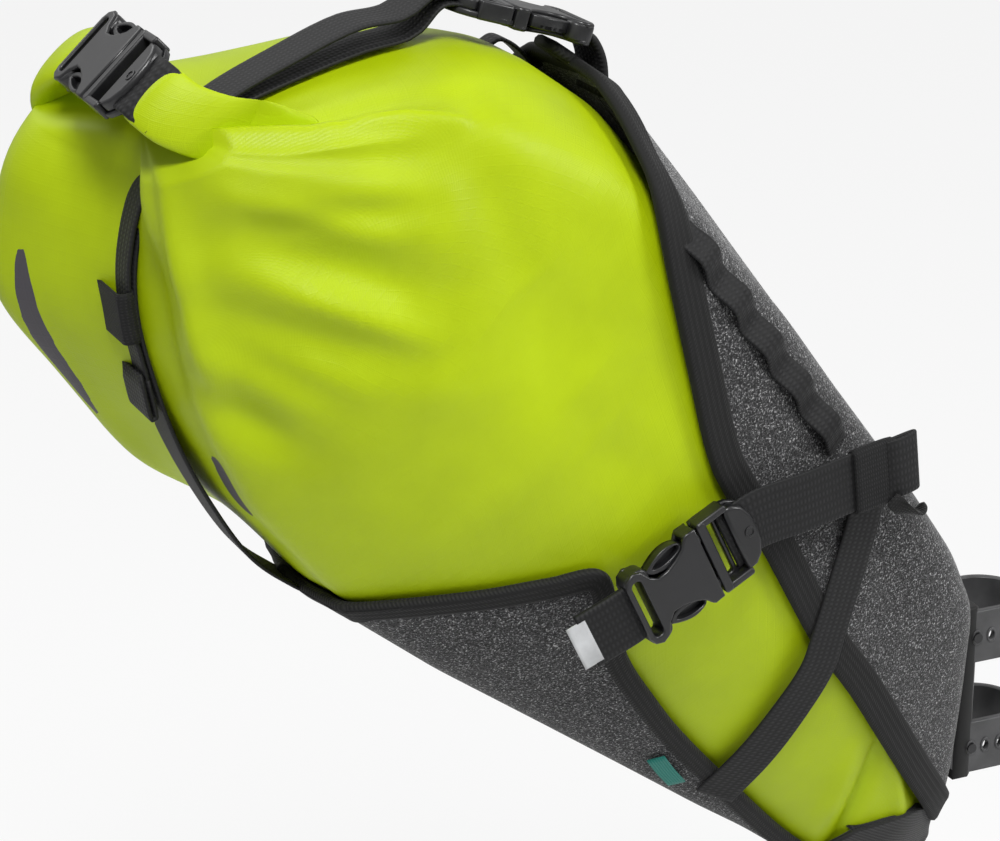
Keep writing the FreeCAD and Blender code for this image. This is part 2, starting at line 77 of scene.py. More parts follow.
# Stations along the bag in millimetres: distance, bottom, top, half width, level of the widest
# line, the corner between flank and top (half width there, level), and the edge of the flat
# underside (half width there, level).
STATIONS = np.array([
    (-26.0, -96.0, -70.0, 14.0, -83.0, 12.0, -73.0, 7.0, -95.0),
    (0.0, -107.0, -43.0, 28.0, -78.0, 24.0, -48.0, 14.0, -105.0),
    (30.0, -113.0, -15.0, 37.0, -68.0, 31.0, -21.0, 18.0, -111.0),
    (60.0, -118.0, 13.0, 45.0, -60.0, 37.0, 5.0, 22.0, -115.0),
    (90.0, -124.0, 21.0, 52.0, -60.0, 43.0, 13.0, 26.0, -121.0),
    (130.0, -132.0, 27.0, 60.0, -62.0, 49.0, 17.0, 30.0, -128.0),
    (180.0, -142.0, 32.0, 70.0, -66.0, 56.0, 20.0, 35.0, -137.0),
    (240.0, -155.0, 37.0, 79.0, -72.0, 63.0, 24.0, 40.0, -148.0),
    (300.0, -165.0, 42.0, 84.0, -74.0, 69.0, 24.0, 44.0, -156.0),
    (350.0, -161.0, 44.0, 85.0, -66.0, 73.0, 19.0, 46.0, -153.0),
    (385.0, -150.0, 37.0, 84.0, -52.0, 74.0, 10.0, 46.0, -143.0),
    (403.0, -141.0, 27.0, 82.0, -44.0, 73.0, 3.0, 46.0, -135.0),
    (418.0, -131.0, 12.0, 79.0, -46.0, 72.0, -8.0, 46.0, -127.0),
    (431.0, -121.0, -8.0, 76.0, -52.0, 71.0, -24.0, 46.0, -118.0),
    (441.0, -112.0, -26.0, 73.0, -58.0, 69.0, -37.0, 46.0, -109.0),
    (449.0, -101.0, -44.0, 69.0, -64.0, 65.0, -50.0, 45.0, -98.0),
    (454.0, -92.0, -58.0, 64.0, -70.0, 60.0, -60.0, 43.0, -90.0),
    (457.0, -84.0, -68.0, 56.0, -74.0, 53.0, -69.0, 40.0, -83.0),
]) * MM
ROWS = 300
COLUMNS = 110              # points over half a section, from the underside's middle to the top's


def smoothed(values, at, reach):
    """Values between the stations: straight lines between them, averaged over a reach."""
    total = 0.0
    shifts = np.linspace(-reach, reach, 9)
    for shift in shifts:
        total = total + np.interp(at + shift, STATIONS[:, 0], values)
    return total / len(shifts)


def unit(directions):
    """Directions at length one: each divided by the root of the sum of its squares."""
    return directions / np.linalg.norm(directions, axis=-1, keepdims=True)


def cubic(a, b, c, d, s):
    """Catmull-Rom cubic from b to c as s goes from 0 to 1:
    0.5 (2 b + (c - a) s + (2 a - 5 b + 4 c - d) s^2 + (3 b - a - 3 c + d) s^3)."""
    bend = (2 * a - 5 * b + 4 * c - d) * s ** 2 + (3 * b - a - 3 * c + d) * s ** 3
    return 0.5 * (2 * b + (c - a) * s + bend)


def with_ends(knots):
    """Rows of knots with one more at each end, as far past it as its neighbour is before it."""
    first = 2 * knots[:, :1] - knots[:, 1:2]
    last = 2 * knots[:, -1:] - knots[:, -2:-1]
    return np.concatenate([first, knots, last], 1)


def through(knots, count):
    """A smooth line through knots (rows, knots, 2), mirrored past its two ends."""
    padded = with_ends(knots)
    padded[:, 0] = knots[:, 1] * np.array([-1.0, 1.0])
    padded[:, -1] = knots[:, -2] * np.array([-1.0, 1.0])
    spans = knots.shape[1] - 1
    place = np.linspace(0, spans, count)
    index = np.minimum(place.astype(int), spans - 1)
    s = (place - index)[None, :, None]
    a, b, c, d = (padded[:, index + k] for k in range(4))
    return cubic(a, b, c, d, s)


def half_sections(along):
    """Half sections (rows, columns, 2) of width and level: a smooth line through the underside,
    the lower flank, the widest line, the upper flank, the corner and the top."""
    bottom, top, half, widest, corner_y, corner_n, base_y, base_n = (
        smoothed(STATIONS[:, k], along, 6 * MM) for k in range(1, 9))
    fan = np.interp(along, [0.385, 0.43], [0.95, 0.80])
    knots = np.stack([
        np.stack([0 * half, bottom], -1),
        np.stack([0.55 * base_y, bottom + 0.3 * (base_n - bottom)], -1),
        np.stack([base_y, base_n], -1),
        np.stack([base_y + 0.68 * (half - base_y), base_n + 0.45 * (widest - base_n)], -1),
        np.stack([half, widest], -1),
        np.stack([half - 0.35 * (half - corner_y), widest + 0.55 * (corner_n - widest)], -1),
        np.stack([corner_y, corner_n], -1),
        np.stack([0.70 * corner_y, corner_n + (top - corner_n) * 0.62], -1),
        np.stack([0.36 * corner_y, corner_n + (top - corner_n) * fan], -1),
        np.stack([0 * half, top], -1),
    ], 1)
    return through(knots, COLUMNS)


T_GRID = np.linspace(STATIONS[0, 0], STATIONS[-1, 0], ROWS)
HALF = half_sections(T_GRID)


def bag_space(along, across, y):
    """Points at distances along and across the bag's axis, and sideways."""
    return (along[..., None] * ALONG + across[..., None] * ACROSS + y[..., None] * SIDEWAYS)


def row_values(along):
    """The half section at any distances along the bag, between the two nearest rows."""
    place = np.interp(along, T_GRID, np.arange(ROWS))
    low = np.minimum(place.astype(int), ROWS - 2)
    share = (place - low)[..., None, None]
    return HALF[low] * (1 - share) + HALF[low + 1] * share


def skin_points(along, share, lift, side):
    """Points on the bag lifted off it: share runs from 0 on the underside's middle to 1 on the
    top's middle. The normal is the cross product of the two directions along the surface."""
    def at(t, s):
        line = row_values(t)
        place = np.clip(s, 0, 1) * (COLUMNS - 1)
        low = np.minimum(place.astype(int), COLUMNS - 2)
        part = (place - low)[..., None]
        picked = np.take_along_axis(line, low[..., None, None].repeat(2, -1), -2)[..., 0, :]
        nextone = np.take_along_axis(line, (low + 1)[..., None, None].repeat(2, -1), -2)[..., 0, :]
        spot = picked * (1 - part) + nextone * part
        return bag_space(t, spot[..., 1], spot[..., 0] * side)
    along, share, side = np.broadcast_arrays(along, share, side)
    lift = np.broadcast_to(lift, along.shape)
    step_t, step_s = 0.003, 0.02
    u = at(along + step_t, share) - at(along - step_t, share)
    v = at(along, np.minimum(share + step_s, 1)) - at(along, np.maximum(share - step_s, 0))
    normal = np.cross(u, v) * side[..., None]
    normal /= np.linalg.norm(normal, axis=-1, keepdims=True) + 1e-12
    return at(along, share) + normal * lift[..., None]


def share_at(along, across):
    """How far round the half section, from 0 to 1, the flank reaches this level."""
    line = row_values(along)
    flat = line.reshape(-1, COLUMNS, 2)
    wanted = np.broadcast_to(across, along.shape).reshape(-1)
    found = [np.interp(w, row[:, 1], np.linspace(0, 1, COLUMNS)) for row, w in zip(flat, wanted)]
    return np.array(found).reshape(along.shape)


def side_view(x, z):
    """Distances along and across the bag of points given in side view."""
    return x * ALONG[0] + z * ALONG[2], x * ACROSS[0] + z * ACROSS[2]


# ---------------------------------------------------------------- meshes
def mesh_object(name, points, faces, corner_uv=None):
    """A mesh from whole arrays: points (n, 3), faces (m, 4), and one UV pair for each corner."""
    mesh = bpy.data.meshes.new(name)
    mesh.from_pydata(points.tolist(), [], faces.tolist() if isinstance(faces, np.ndarray) else faces)
    if corner_uv is not None:
        layer = mesh.uv_layers.new(name="Weave")
        layer.data.foreach_set("uv", np.asarray(corner_uv, np.float32).ravel())
    mesh.polygons.foreach_set("use_smooth", np.ones(len(mesh.polygons), bool))
    mesh.update()
    obj = bpy.data.objects.new(name, mesh)
    bpy.context.scene.collection.objects.link(obj)
    return obj


def grid(name, points, uv=None, wrap=False, caps=None):
    """A surface from points (rows, columns, 3). wrap closes the columns; caps "fan" closes the
    two end rows with one point each, and "flat" with one face each."""
    rows, columns = points.shape[:2]
    spans = columns if wrap else columns - 1
    r, c = np.meshgrid(np.arange(rows - 1), np.arange(spans), indexing="ij")
    nxt = (c + 1) % columns
    this_row, next_row = r * columns, (r + 1) * columns
    quads = np.stack([this_row + c, this_row + nxt, next_row + nxt, next_row + c], -1)
    flat_points = points.reshape(-1, 3)
    if uv is None:
        step = np.linalg.norm(np.diff(points, axis=0), axis=-1).mean(1)
        length = np.concatenate([[0], np.cumsum(step)])
        closed = np.concatenate([points, points[:, :1]], 1) if wrap else points
        width = np.linalg.norm(np.diff(closed, axis=1), axis=-1)
        around = np.concatenate([np.zeros((rows, 1)), np.cumsum(width, 1)], 1)
        uv = np.stack([np.repeat(length[:, None], around.shape[1], 1), around], -1)
    uv_quads = np.stack([uv[r, c], uv[r, c + 1], uv[r + 1, c + 1], uv[r + 1, c]], -2)
    faces = quads.reshape(-1, 4).tolist()
    corner_uv = uv_quads.reshape(-1, 2)
    if caps == "fan":
        first, last = points[0].mean(0), points[-1].mean(0)
        base = len(flat_points)
        flat_points = np.concatenate([flat_points, [first, last]])
        near = [[base, (k + 1) % columns, k] for k in range(columns)]
        far = [[base + 1, (rows - 1) * columns + k, (rows - 1) * columns + (k + 1) % columns]
               for k in range(columns)]
        faces += near + far
        extra = np.concatenate([np.tile(uv[0, 0], (3 * columns, 1)), np.tile(uv[-1, 0], (3 * columns, 1))])
        corner_uv = np.concatenate([corner_uv, extra])
    if caps == "flat":
        faces += [list(range(columns))[::-1], list(range((rows - 1) * columns, rows * columns))]
        corner_uv = np.concatenate([corner_uv, uv[0, :columns][::-1], uv[-1, :columns]])
    return mesh_object(name, flat_points, faces, corner_uv)


def outward(obj, merge=0.0):
    """Turns every face of a closed piece outwards, after joining points nearer than merge."""
    work = bmesh.new()
    work.from_mesh(obj.data)
    if merge:
        bmesh.ops.remove_doubles(work, verts=work.verts, dist=merge)
    bmesh.ops.recalc_face_normals(work, faces=work.faces)
    work.to_mesh(obj.data)
    work.free()
    return obj


def walked(path):
    """Distance walked along a path at each of its points: the sum of the steps before it."""
    return np.concatenate([[0], np.cumsum(np.linalg.norm(np.diff(path, axis=0), axis=1))])


def resampled(path, count):
    """A path (n, 3) as count points at equal steps, through a Catmull-Rom line."""
    knots = np.asarray(path, float)[None]
    dense = 24 * (len(path) - 1) + 1
    padded = with_ends(knots)
    place = np.linspace(0, len(path) - 1, dense)
    index = np.minimum(place.astype(int), len(path) - 2)
    s = (place - index)[None, :, None]
    a, b, c, d = (padded[:, index + k] for k in range(4))
    line = cubic(a, b, c, d, s)[0]
    steps = walked(line)
    at = np.linspace(0, steps[-1], count)
    return np.stack([np.interp(at, steps, line[:, k]) for k in range(line.shape[1])], 1)


def band_section(width, thickness, side_points=9):
    """Closed section of webbing in (across, out): flat faces and half-round selvedges."""
    r = thickness / 2
    across = np.linspace(-width / 2 + r, width / 2 - r, side_points)
    turn = np.linspace(-math.pi / 2, math.pi / 2, 5)[1:-1]
    right = np.stack([width / 2 - r + r * np.cos(turn), r * np.sin(turn)], 1)
    left = np.stack([-width / 2 + r - r * np.cos(turn), -r * np.sin(turn)], 1)
    lower = np.stack([across, -r + 0 * across], 1)
    upper = np.stack([across[::-1], r + 0 * across], 1)
    return np.concatenate([lower, right, upper, left])


def webbing(name, path, outs, width, thickness, count=60):
    """Flat webbing along a path: its section is carried along with 'outs' as the outward side."""
    line = resampled(np.concatenate([path, outs], 1), count)
    spots, out = line[:, :3], line[:, 3:]
    run = np.gradient(spots, axis=0)
    run = unit(run)
    out = out - run * (out * run).sum(1, keepdims=True)
    out = unit(out)
    across = np.cross(out, run)
    section = band_section(width, thickness)
    points = spots[:, None] + across[:, None] * section[None, :, :1] + out[:, None] * section[None, :, 1:]
    length = walked(spots)
    around = np.concatenate([section[:, 0], section[:1, 0]])
    uv = np.stack([np.repeat(length[:, None], len(around), 1), np.repeat(around[None], count, 0)], -1)
    return outward(grid(name, points, uv=uv, wrap=True, caps="flat"))


def plate(name, loops, low, high, bevel, place):
    """A flat moulded plate with rounded edges: outline and holes filled between two heights.
    'place' is (origin, along, across, out) and carries it to the object."""
    curve = bpy.data.curves.new(name, "CURVE")
    curve.dimensions = "2D"
    curve.fill_mode = "BOTH"
    curve.extrude = (high - low) / 2 - bevel
    curve.bevel_depth = bevel
    curve.bevel_resolution = 3
    curve.offset = -bevel
    for loop in loops:
        spline = curve.splines.new("POLY")
        spline.points.add(len(loop) - 1)
        level, weight = np.zeros((len(loop), 1)), np.ones((len(loop), 1))
        flat = np.concatenate([np.asarray(loop, float), level, weight], 1)
        spline.points.foreach_set("co", flat.ravel())
        spline.use_cyclic_u = True
    helper = bpy.data.objects.new(name + "_curve", curve)
    bpy.context.scene.collection.objects.link(helper)
    bpy.context.view_layer.update()
    mesh = bpy.data.meshes.new_from_object(helper)
    bpy.data.objects.remove(helper)
    count = len(mesh.vertices)
    flat = np.zeros(count * 3)
    mesh.vertices.foreach_get("co", flat)
    local = flat.reshape(-1, 3)
    local[:, 2] += (low + high) / 2
    origin, along, across, out = place
    spots = origin + local[:, :1] * along + local[:, 1:2] * across + local[:, 2:] * out
    mesh.vertices.foreach_set("co", spots.ravel())
    obj = bpy.data.objects.new(name, mesh)
    bpy.context.scene.collection.objects.link(obj)
    outward(obj, 0.02 * MM)
    mesh.update()
    return obj


def joined(name, objects):
    """Several meshes as one piece."""
    bpy.ops.object.select_all(action="DESELECT")
    for obj in objects:
        obj.select_set(True)
    bpy.context.view_layer.objects.active = objects[0]
    bpy.ops.object.join()
    whole = bpy.context.view_layer.objects.active
    whole.name = name
    whole.data.name = name
    return whole


def rounded_box(a, b, radius, steps=5):
    """Corner-rounded rectangle between (a0, b0) and (a1, b1), counter-clockwise."""
    (a0, b0), (a1, b1) = a, b
    loop = []
    for cx, cy, start in ((a1 - radius, b0 + radius, -90), (a1 - radius, b1 - radius, 0),
                          (a0 + radius, b1 - radius, 90), (a0 + radius, b0 + radius, 180)):
        for k in range(steps + 1):
            turn = math.radians(start + 90 * k / steps)
            loop.append((cx + radius * math.cos(turn), cy + radius * math.sin(turn)))
    return loop


def smooth_loop(points, count=64):
    """A closed outline as a smooth line through given corners."""
    knots = np.asarray(points, float)
    n = len(knots)
    place = np.linspace(0, n, count, endpoint=False)
    index = place.astype(int)
    s = (place - index)[:, None]
    a, b, c, d = (knots[(index + k) % n] for k in (-1, 0, 1, 2))
    return cubic(a, b, c, d, s)


# ---------------------------------------------------------------- materials
def node_group(name, inputs, outputs):
    """An empty shader group with named sockets; inputs are (name, type, default)."""
    group = bpy.data.node_groups.new(name, "ShaderNodeTree")
    for label, kind, default in inputs:
        socket = group.interface.new_socket(name=label, in_out="INPUT", socket_type="NodeSocket" + kind)
        if default is not None:
            socket.default_value = default
    for label, kind in outputs:
        group.interface.new_socket(name=label, in_out="OUTPUT", socket_type="NodeSocket" + kind)
    enter = group.nodes.new("NodeGroupInput")
    leave = group.nodes.new("NodeGroupOutput")
    return group, enter, leave


def add_math(tree, operation, first, second=None, third=None):
    """A math node with sockets or numbers on its inputs."""
    node = tree.nodes.new("ShaderNodeMath")
    node.operation = operation
    for socket, value in zip(node.inputs, (first, second, third)):
        if value is None:
            continue
        if isinstance(value, (int, float)):
            socket.default_value = value
        else:
            tree.links.new(value, socket)
    return node.outputs[0]


def weave_group():
    """Cloth weave on a piece's own UV map in metres: threads along and across, rows of ripstop
    lines, and a soft cloudiness. Height = threads + ripstop; Shade is darker between threads."""
    group, enter, leave = node_group("Weave", [
        ("Along pitch", "Float", 0.0008), ("Across pitch", "Float", 0.0008), ("Slant", "Float", 0.0),
        ("Grid pitch", "Float", 0.005), ("Grid depth", "Float", 0.0), ("Cloud scale", "Float", 60.0)],
        [("Height", "Float"), ("Shade", "Float"), ("Cloud", "Float")])
    t, links = group, group.links
    uv = t.nodes.new("ShaderNodeUVMap")
    uv.uv_map = "Weave"
    split = t.nodes.new("ShaderNodeSeparateXYZ")
    links.new(uv.outputs[0], split.inputs[0])
    slanted = add_math(t, "MULTIPLY_ADD", split.outputs[1], enter.outputs["Slant"], split.outputs[0])
    turn_u = add_math(t, "MULTIPLY", slanted, 2 * math.pi)
    wave_u = add_math(t, "SINE", add_math(t, "DIVIDE", turn_u, enter.outputs["Along pitch"]))
    turn_v = add_math(t, "MULTIPLY", split.outputs[1], 2 * math.pi)
    wave_v = add_math(t, "SINE", add_math(t, "DIVIDE", turn_v, enter.outputs["Across pitch"]))
    threads = add_math(t, "MULTIPLY_ADD", add_math(t, "MULTIPLY", wave_u, wave_v), 0.25,
                       add_math(t, "MULTIPLY", add_math(t, "ADD", wave_u, wave_v), 0.2))
    lines = []
    for part in (split.outputs[0], split.outputs[1]):
        phase = add_math(t, "FRACT", add_math(t, "DIVIDE", part, enter.outputs["Grid pitch"]))
        near = add_math(t, "ABSOLUTE", add_math(t, "SUBTRACT", phase, 0.5))
        lines.append(add_math(t, "SMOOTH_MAX", add_math(t, "MULTIPLY_ADD", near, -9.0, 1.0), 0.0, 0.1))
    either = add_math(t, "MAXIMUM", lines[0], lines[1])
    grid_line = add_math(t, "MULTIPLY", either, enter.outputs["Grid depth"])
    links.new(add_math(t, "ADD", threads, grid_line), leave.inputs["Height"])
    links.new(add_math(t, "MULTIPLY_ADD", threads, 0.5, 0.5), leave.inputs["Shade"])
    place = t.nodes.new("ShaderNodeTexCoord")
    noise = t.nodes.new("ShaderNodeTexNoise")
    noise.inputs["Detail"].default_value = 3.0
    links.new(place.outputs["Object"], noise.inputs["Vector"])
    links.new(enter.outputs["Cloud scale"], noise.inputs["Scale"])
    links.new(noise.outputs[0], leave.inputs["Cloud"])
    return group


def grain_group():
    """Fine moulded grain and handling wear on Object coordinates: Height is a fine noise, Wear a
    broad blotch."""
    scales = [("Grain scale", "Float", 2500.0), ("Wear scale", "Float", 70.0)]
    group, enter, leave = node_group("Grain", scales, [("Height", "Float"), ("Wear", "Float")])
    place = group.nodes.new("ShaderNodeTexCoord")
    for label, detail, out in (("Grain scale", 2.0, "Height"), ("Wear scale", 5.0, "Wear")):
        noise = group.nodes.new("ShaderNodeTexNoise")
        noise.inputs["Detail"].default_value = detail
        group.links.new(place.outputs["Object"], noise.inputs["Vector"])
        group.links.new(enter.outputs[label], noise.inputs["Scale"])
        group.links.new(noise.outputs[0], leave.inputs[out])
    return group


def group_node(material, group):
    node = material.node_tree.nodes.new("ShaderNodeGroup")
    node.node_tree = group
    return node


def new_material(name, roughness, specular=0.5, sheen=0.0, coat=0.0):
    """A Principled material with its constants on the shader's own sockets."""
    material = bpy.data.materials.new(name)
    material.use_nodes = True
    shader = material.node_tree.nodes["Principled BSDF"]
    shader.inputs["Roughness"].default_value = roughness
    shader.inputs["Specular IOR Level"].default_value = specular
    shader.inputs["Sheen Weight"].default_value = sheen
    shader.inputs["Sheen Roughness"].default_value = 0.4
    shader.inputs["Coat Weight"].default_value = coat
    return material, shader


def ramp(tree, fac, stops):
    node = tree.nodes.new("ShaderNodeValToRGB")
    node.color_ramp.elements[0].position = stops[0][0]
    node.color_ramp.elements[0].color = (*stops[0][1], 1)
    node.color_ramp.elements[1].position = stops[-1][0]
    node.color_ramp.elements[1].color = (*stops[-1][1], 1)
    for position, colour in stops[1:-1]:
        node.color_ramp.elements.new(position).color = (*colour, 1)
    tree.links.new(fac, node.inputs[0])
    return node.outputs[0]


def bump(tree, height, shader, strength, distance, before=None):
    node = tree.nodes.new("ShaderNodeBump")
    node.inputs["Strength"].default_value = strength
    node.inputs["Distance"].default_value = distance
    tree.links.new(height, node.inputs["Height"])
    if before is not None:
        tree.links.new(before, node.inputs["Normal"])
    tree.links.new(node.outputs[0], shader.inputs["Normal"])
    return node.outputs[0]


def woven(name, dark, light, pitch, roughness, slant=0.0, depth=0.0003, across_pitch=None, sheen=0.15):
    """Webbing, tape or elastic: ribs from the weave, in a colour between dark and light."""
    material, shader = new_material(name, roughness, 0.3, sheen)
    tree = material.node_tree
    weave = group_node(material, GROUPS["weave"])
    weave.inputs["Along pitch"].default_value = pitch
    weave.inputs["Across pitch"].default_value = across_pitch or pitch * 1.6
    weave.inputs["Slant"].default_value = slant
    tone = ramp(tree, weave.outputs["Shade"], [(0.2, dark), (0.85, light)])
    tree.links.new(tone, shader.inputs["Base Color"])
    bump(tree, weave.outputs["Height"], shader, 0.8, depth)
    return material


def ripstop():
    """Coated green ripstop: a fine twill, raised grid lines 5 mm apart and cloudy colour."""
    colours = bpy.context.scene.bag_colours
    material, shader = new_material("Green coated ripstop", 0.42, 0.28, 0.0)
    tree = material.node_tree
    weave = group_node(material, GROUPS["weave"])
    weave.inputs["Along pitch"].default_value = 0.0007
    weave.inputs["Across pitch"].default_value = 0.0007
    weave.inputs["Slant"].default_value = 0.5
    weave.inputs["Grid pitch"].default_value = 0.0052
    weave.inputs["Grid depth"].default_value = 0.8
    weave.inputs["Cloud scale"].default_value = 26.0
    green = np.array(colours.dry_bag)
    stops = [(0.25, tuple(green * 0.90)), (0.5, tuple(green)), (0.75, tuple(np.minimum(green * 1.08, 1)))]
    base = ramp(tree, weave.outputs["Cloud"], stops)
    mix = tree.nodes.new("ShaderNodeMix")
    mix.data_type = "RGBA"
    mix.blend_type = "MULTIPLY"
    mix.inputs["Factor"].default_value = 0.10
    tree.links.new(base, mix.inputs["A"])
    tree.links.new(weave.outputs["Shade"], mix.inputs["B"])
    # reflective strips are printed on the fabric, painted on through an attribute
    print_mask = tree.nodes.new("ShaderNodeAttribute")
    print_mask.attribute_name = "Print"
    strip = tree.nodes.new("ShaderNodeMix")
    strip.data_type = "RGBA"
    tree.links.new(add_math(tree, "GREATER_THAN", print_mask.outputs["Fac"], 0.0), strip.inputs["Factor"])
    tree.links.new(mix.outputs["Result"], strip.inputs["A"])
    strip.inputs["B"].default_value = (0.075, 0.070, 0.080, 1)
    tree.links.new(strip.outputs["Result"], shader.inputs["Base Color"])
    rough = tree.nodes.new("ShaderNodeMapRange")
    rough.inputs["To Min"].default_value = 0.36
    rough.inputs["To Max"].default_value = 0.52
    tree.links.new(weave.outputs["Cloud"], rough.inputs["Value"])
    tree.links.new(rough.outputs[0], shader.inputs["Roughness"])
    bump(tree, weave.outputs["Height"], shader, 0.30, 0.00016)
    return material


def felt():
    """Melange felt: short pale fibres over dark grey, from two stretched noises."""
    colours = bpy.context.scene.bag_colours
    material, shader = new_material("Grey melange felt", 0.95, 0.15, 0.35)
    tree = material.node_tree
    place = tree.nodes.new("ShaderNodeTexCoord")
    fibres = []
    for scale, turn in (((1700, 800, 800), 0.6), ((800, 800, 1800), -0.5), ((1200, 1200, 1200), 1.9)):
        mapping = tree.nodes.new("ShaderNodeMapping")
        mapping.inputs["Scale"].default_value = scale
        mapping.inputs["Rotation"].default_value = (turn, turn * 0.7, turn)
        noise = tree.nodes.new("ShaderNodeTexNoise")
        noise.inputs["Scale"].default_value = 1.0
        noise.inputs["Detail"].default_value = 2.0
        tree.links.new(place.outputs["Object"], mapping.inputs["Vector"])
        tree.links.new(mapping.outputs[0], noise.inputs["Vector"])
        fibres.append(noise.outputs[0])
    both = add_math(tree, "MAXIMUM", fibres[0], fibres[1])
    both = add_math(tree, "MULTIPLY_ADD", fibres[2], 0.35, add_math(tree, "MULTIPLY", both, 0.72))
    base = np.array(colours.felt)
    stops = [(0.50, tuple(base * 0.45)), (0.57, tuple(base)), (0.64, tuple(base * 3.0)),
             (0.72, (0.50, 0.50, 0.50))]
    tree.links.new(ramp(tree, both, stops), shader.inputs["Base Color"])
    bump(tree, both, shader, 0.9, 0.0008)
    return material


def moulded(name, colour, roughness, coat=0.0, grain=0.00004):
    """Moulded plastic or rubber with a fine grain and handling wear."""
    material, shader = new_material(name, roughness, 0.5, 0.0, coat)
    tree = material.node_tree
    grain_node = group_node(material, GROUPS["grain"])
    dark, light = np.array(colour) * 0.8, np.array(colour) * 1.35
    tree.links.new(ramp(tree, grain_node.outputs["Wear"], [(0.35, tuple(dark)), (0.7, tuple(light))]),
                   shader.inputs["Base Color"])
    rough = tree.nodes.new("ShaderNodeMapRange")
    rough.inputs["From Min"].default_value = 0.3
    rough.inputs["From Max"].default_value = 0.7
    rough.inputs["To Min"].default_value = roughness * 0.85
    rough.inputs["To Max"].default_value = min(roughness * 1.2, 1)
    tree.links.new(grain_node.outputs["Wear"], rough.inputs["Value"])
    tree.links.new(rough.outputs[0], shader.inputs["Roughness"])
    bump(tree, grain_node.outputs["Height"], shader, 0.35, grain)
    return material


GROUPS = {}
FINISH = {}


def make_finishes():
    """Every material, once."""
    GROUPS["weave"] = weave_group()
    GROUPS["grain"] = grain_group()
    FINISH["green"] = ripstop()
    FINISH["felt"] = felt()
    black, worn_black = (0.002, 0.002, 0.002), (0.018, 0.018, 0.019)
    FINISH["web"] = woven("Black ribbed webbing", black, worn_black, 0.0019, 0.62, sheen=0.03)
    FINISH["binding"] = woven("Black binding tape", black, (0.018, 0.018, 0.018), 0.0016, 0.75, 0.9,
                              sheen=0.04)
    FINISH["elastic"] = woven("Black flat elastic", (0.003, 0.003, 0.003), worn_black, 0.0012, 0.8,
                              sheen=0.03)
    FINISH["label"] = woven("Teal woven label", (0.01, 0.13, 0.11), (0.03, 0.30, 0.24), 0.0007, 0.7)
    FINISH["silver"] = moulded("Silver reflective film", (0.50, 0.51, 0.52), 0.45)
    FINISH["plastic"] = moulded("Black satin acetal", (0.008, 0.008, 0.009), 0.34, 0.15)
    FINISH["rubber"] = moulded("Grey strap rubber", (0.062, 0.062, 0.064), 0.42)
    FINISH["boot"] = woven("Black coated boot fabric", (0.006, 0.006, 0.006), (0.02, 0.02, 0.02), 0.0010,
                           0.6)
    FINISH["sheet"] = moulded("Black sheet plastic", (0.02, 0.02, 0.02), 0.5)


def dress(obj, finish, body="bag", replaced=()):
    """Gives a finished piece its material, its body and the CAD nodes it stands for."""
    obj.data.materials.clear()
    obj.data.materials.append(FINISH[finish])
    if body:
        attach(obj, body)
    if replaced:
        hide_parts(*replaced)
    return obj


# ---------------------------------------------------------------- user settings
class BagColours(bpy.types.PropertyGroup):
    """Colours that a user would change"""
    dry_bag: bpy.props.FloatVectorProperty(
        name="Dry bag", description="Base colour of the coated ripstop", subtype="COLOR", size=3,
        default=(0.455, 0.60, 0.0015), min=0, max=1)
    felt: bpy.props.FloatVectorProperty(
        name="Felt", description="Middle grey of the melange felt", subtype="COLOR", size=3,
        default=(0.034, 0.034, 0.035), min=0, max=1)


class BagSizes(bpy.types.PropertyGroup):
    """Sizes that a user would change"""
    felt_gap: bpy.props.FloatProperty(
        name="Felt gap", description="Room between the dry bag and the felt", default=2.0 * MM,
        min=0, unit="LENGTH")
    felt: bpy.props.FloatProperty(
        name="Felt thickness", description="Thickness of the harness's felt", default=3.0 * MM,
        min=0.0005, unit="LENGTH")
    wing_tape: bpy.props.FloatProperty(
        name="Wing binding", description="Width of the binding tape on the upper wings",
        default=15.0 * MM, min=0.002, unit="LENGTH")
    sling_tape: bpy.props.FloatProperty(
        name="Sling binding", description="Width of the binding tape on the lower sling",
        default=10.0 * MM, min=0.002, unit="LENGTH")
    webbing: bpy.props.FloatProperty(
        name="Webbing width", description="Width of the buckles' webbing", default=25.0 * MM,
        min=0.005, unit="LENGTH")


WEB_T = 1.6 * MM

# side view of the wing's edge and the sling's edge, as (x, z)
WING_EDGE = np.array([(-216, 296), (-213, 284), (-205, 243), (-193, 195), (-180, 150), (-157, 116),
                      (-125, 64), (-101, 33), (-66, -16), (-31, -62)]) * MM
SLING_EDGE = np.array([(-330, 105), (-300, 111), (-272, 115), (-250, 118), (-230, 119), (-221, 100),
                       (-212, 76), (-194, 50), (-175, 26), (-148, -4), (-113, -41), (-84, -66)]) * MM


def edge_line(edge, count):
    """Along-the-bag and round-the-section places of an edge drawn in side view."""
    line = resampled(np.concatenate([edge, np.zeros((len(edge), 1))], 1), count)
    along, across = side_view(line[:, 0], line[:, 1])
    return along, share_at(along, across)


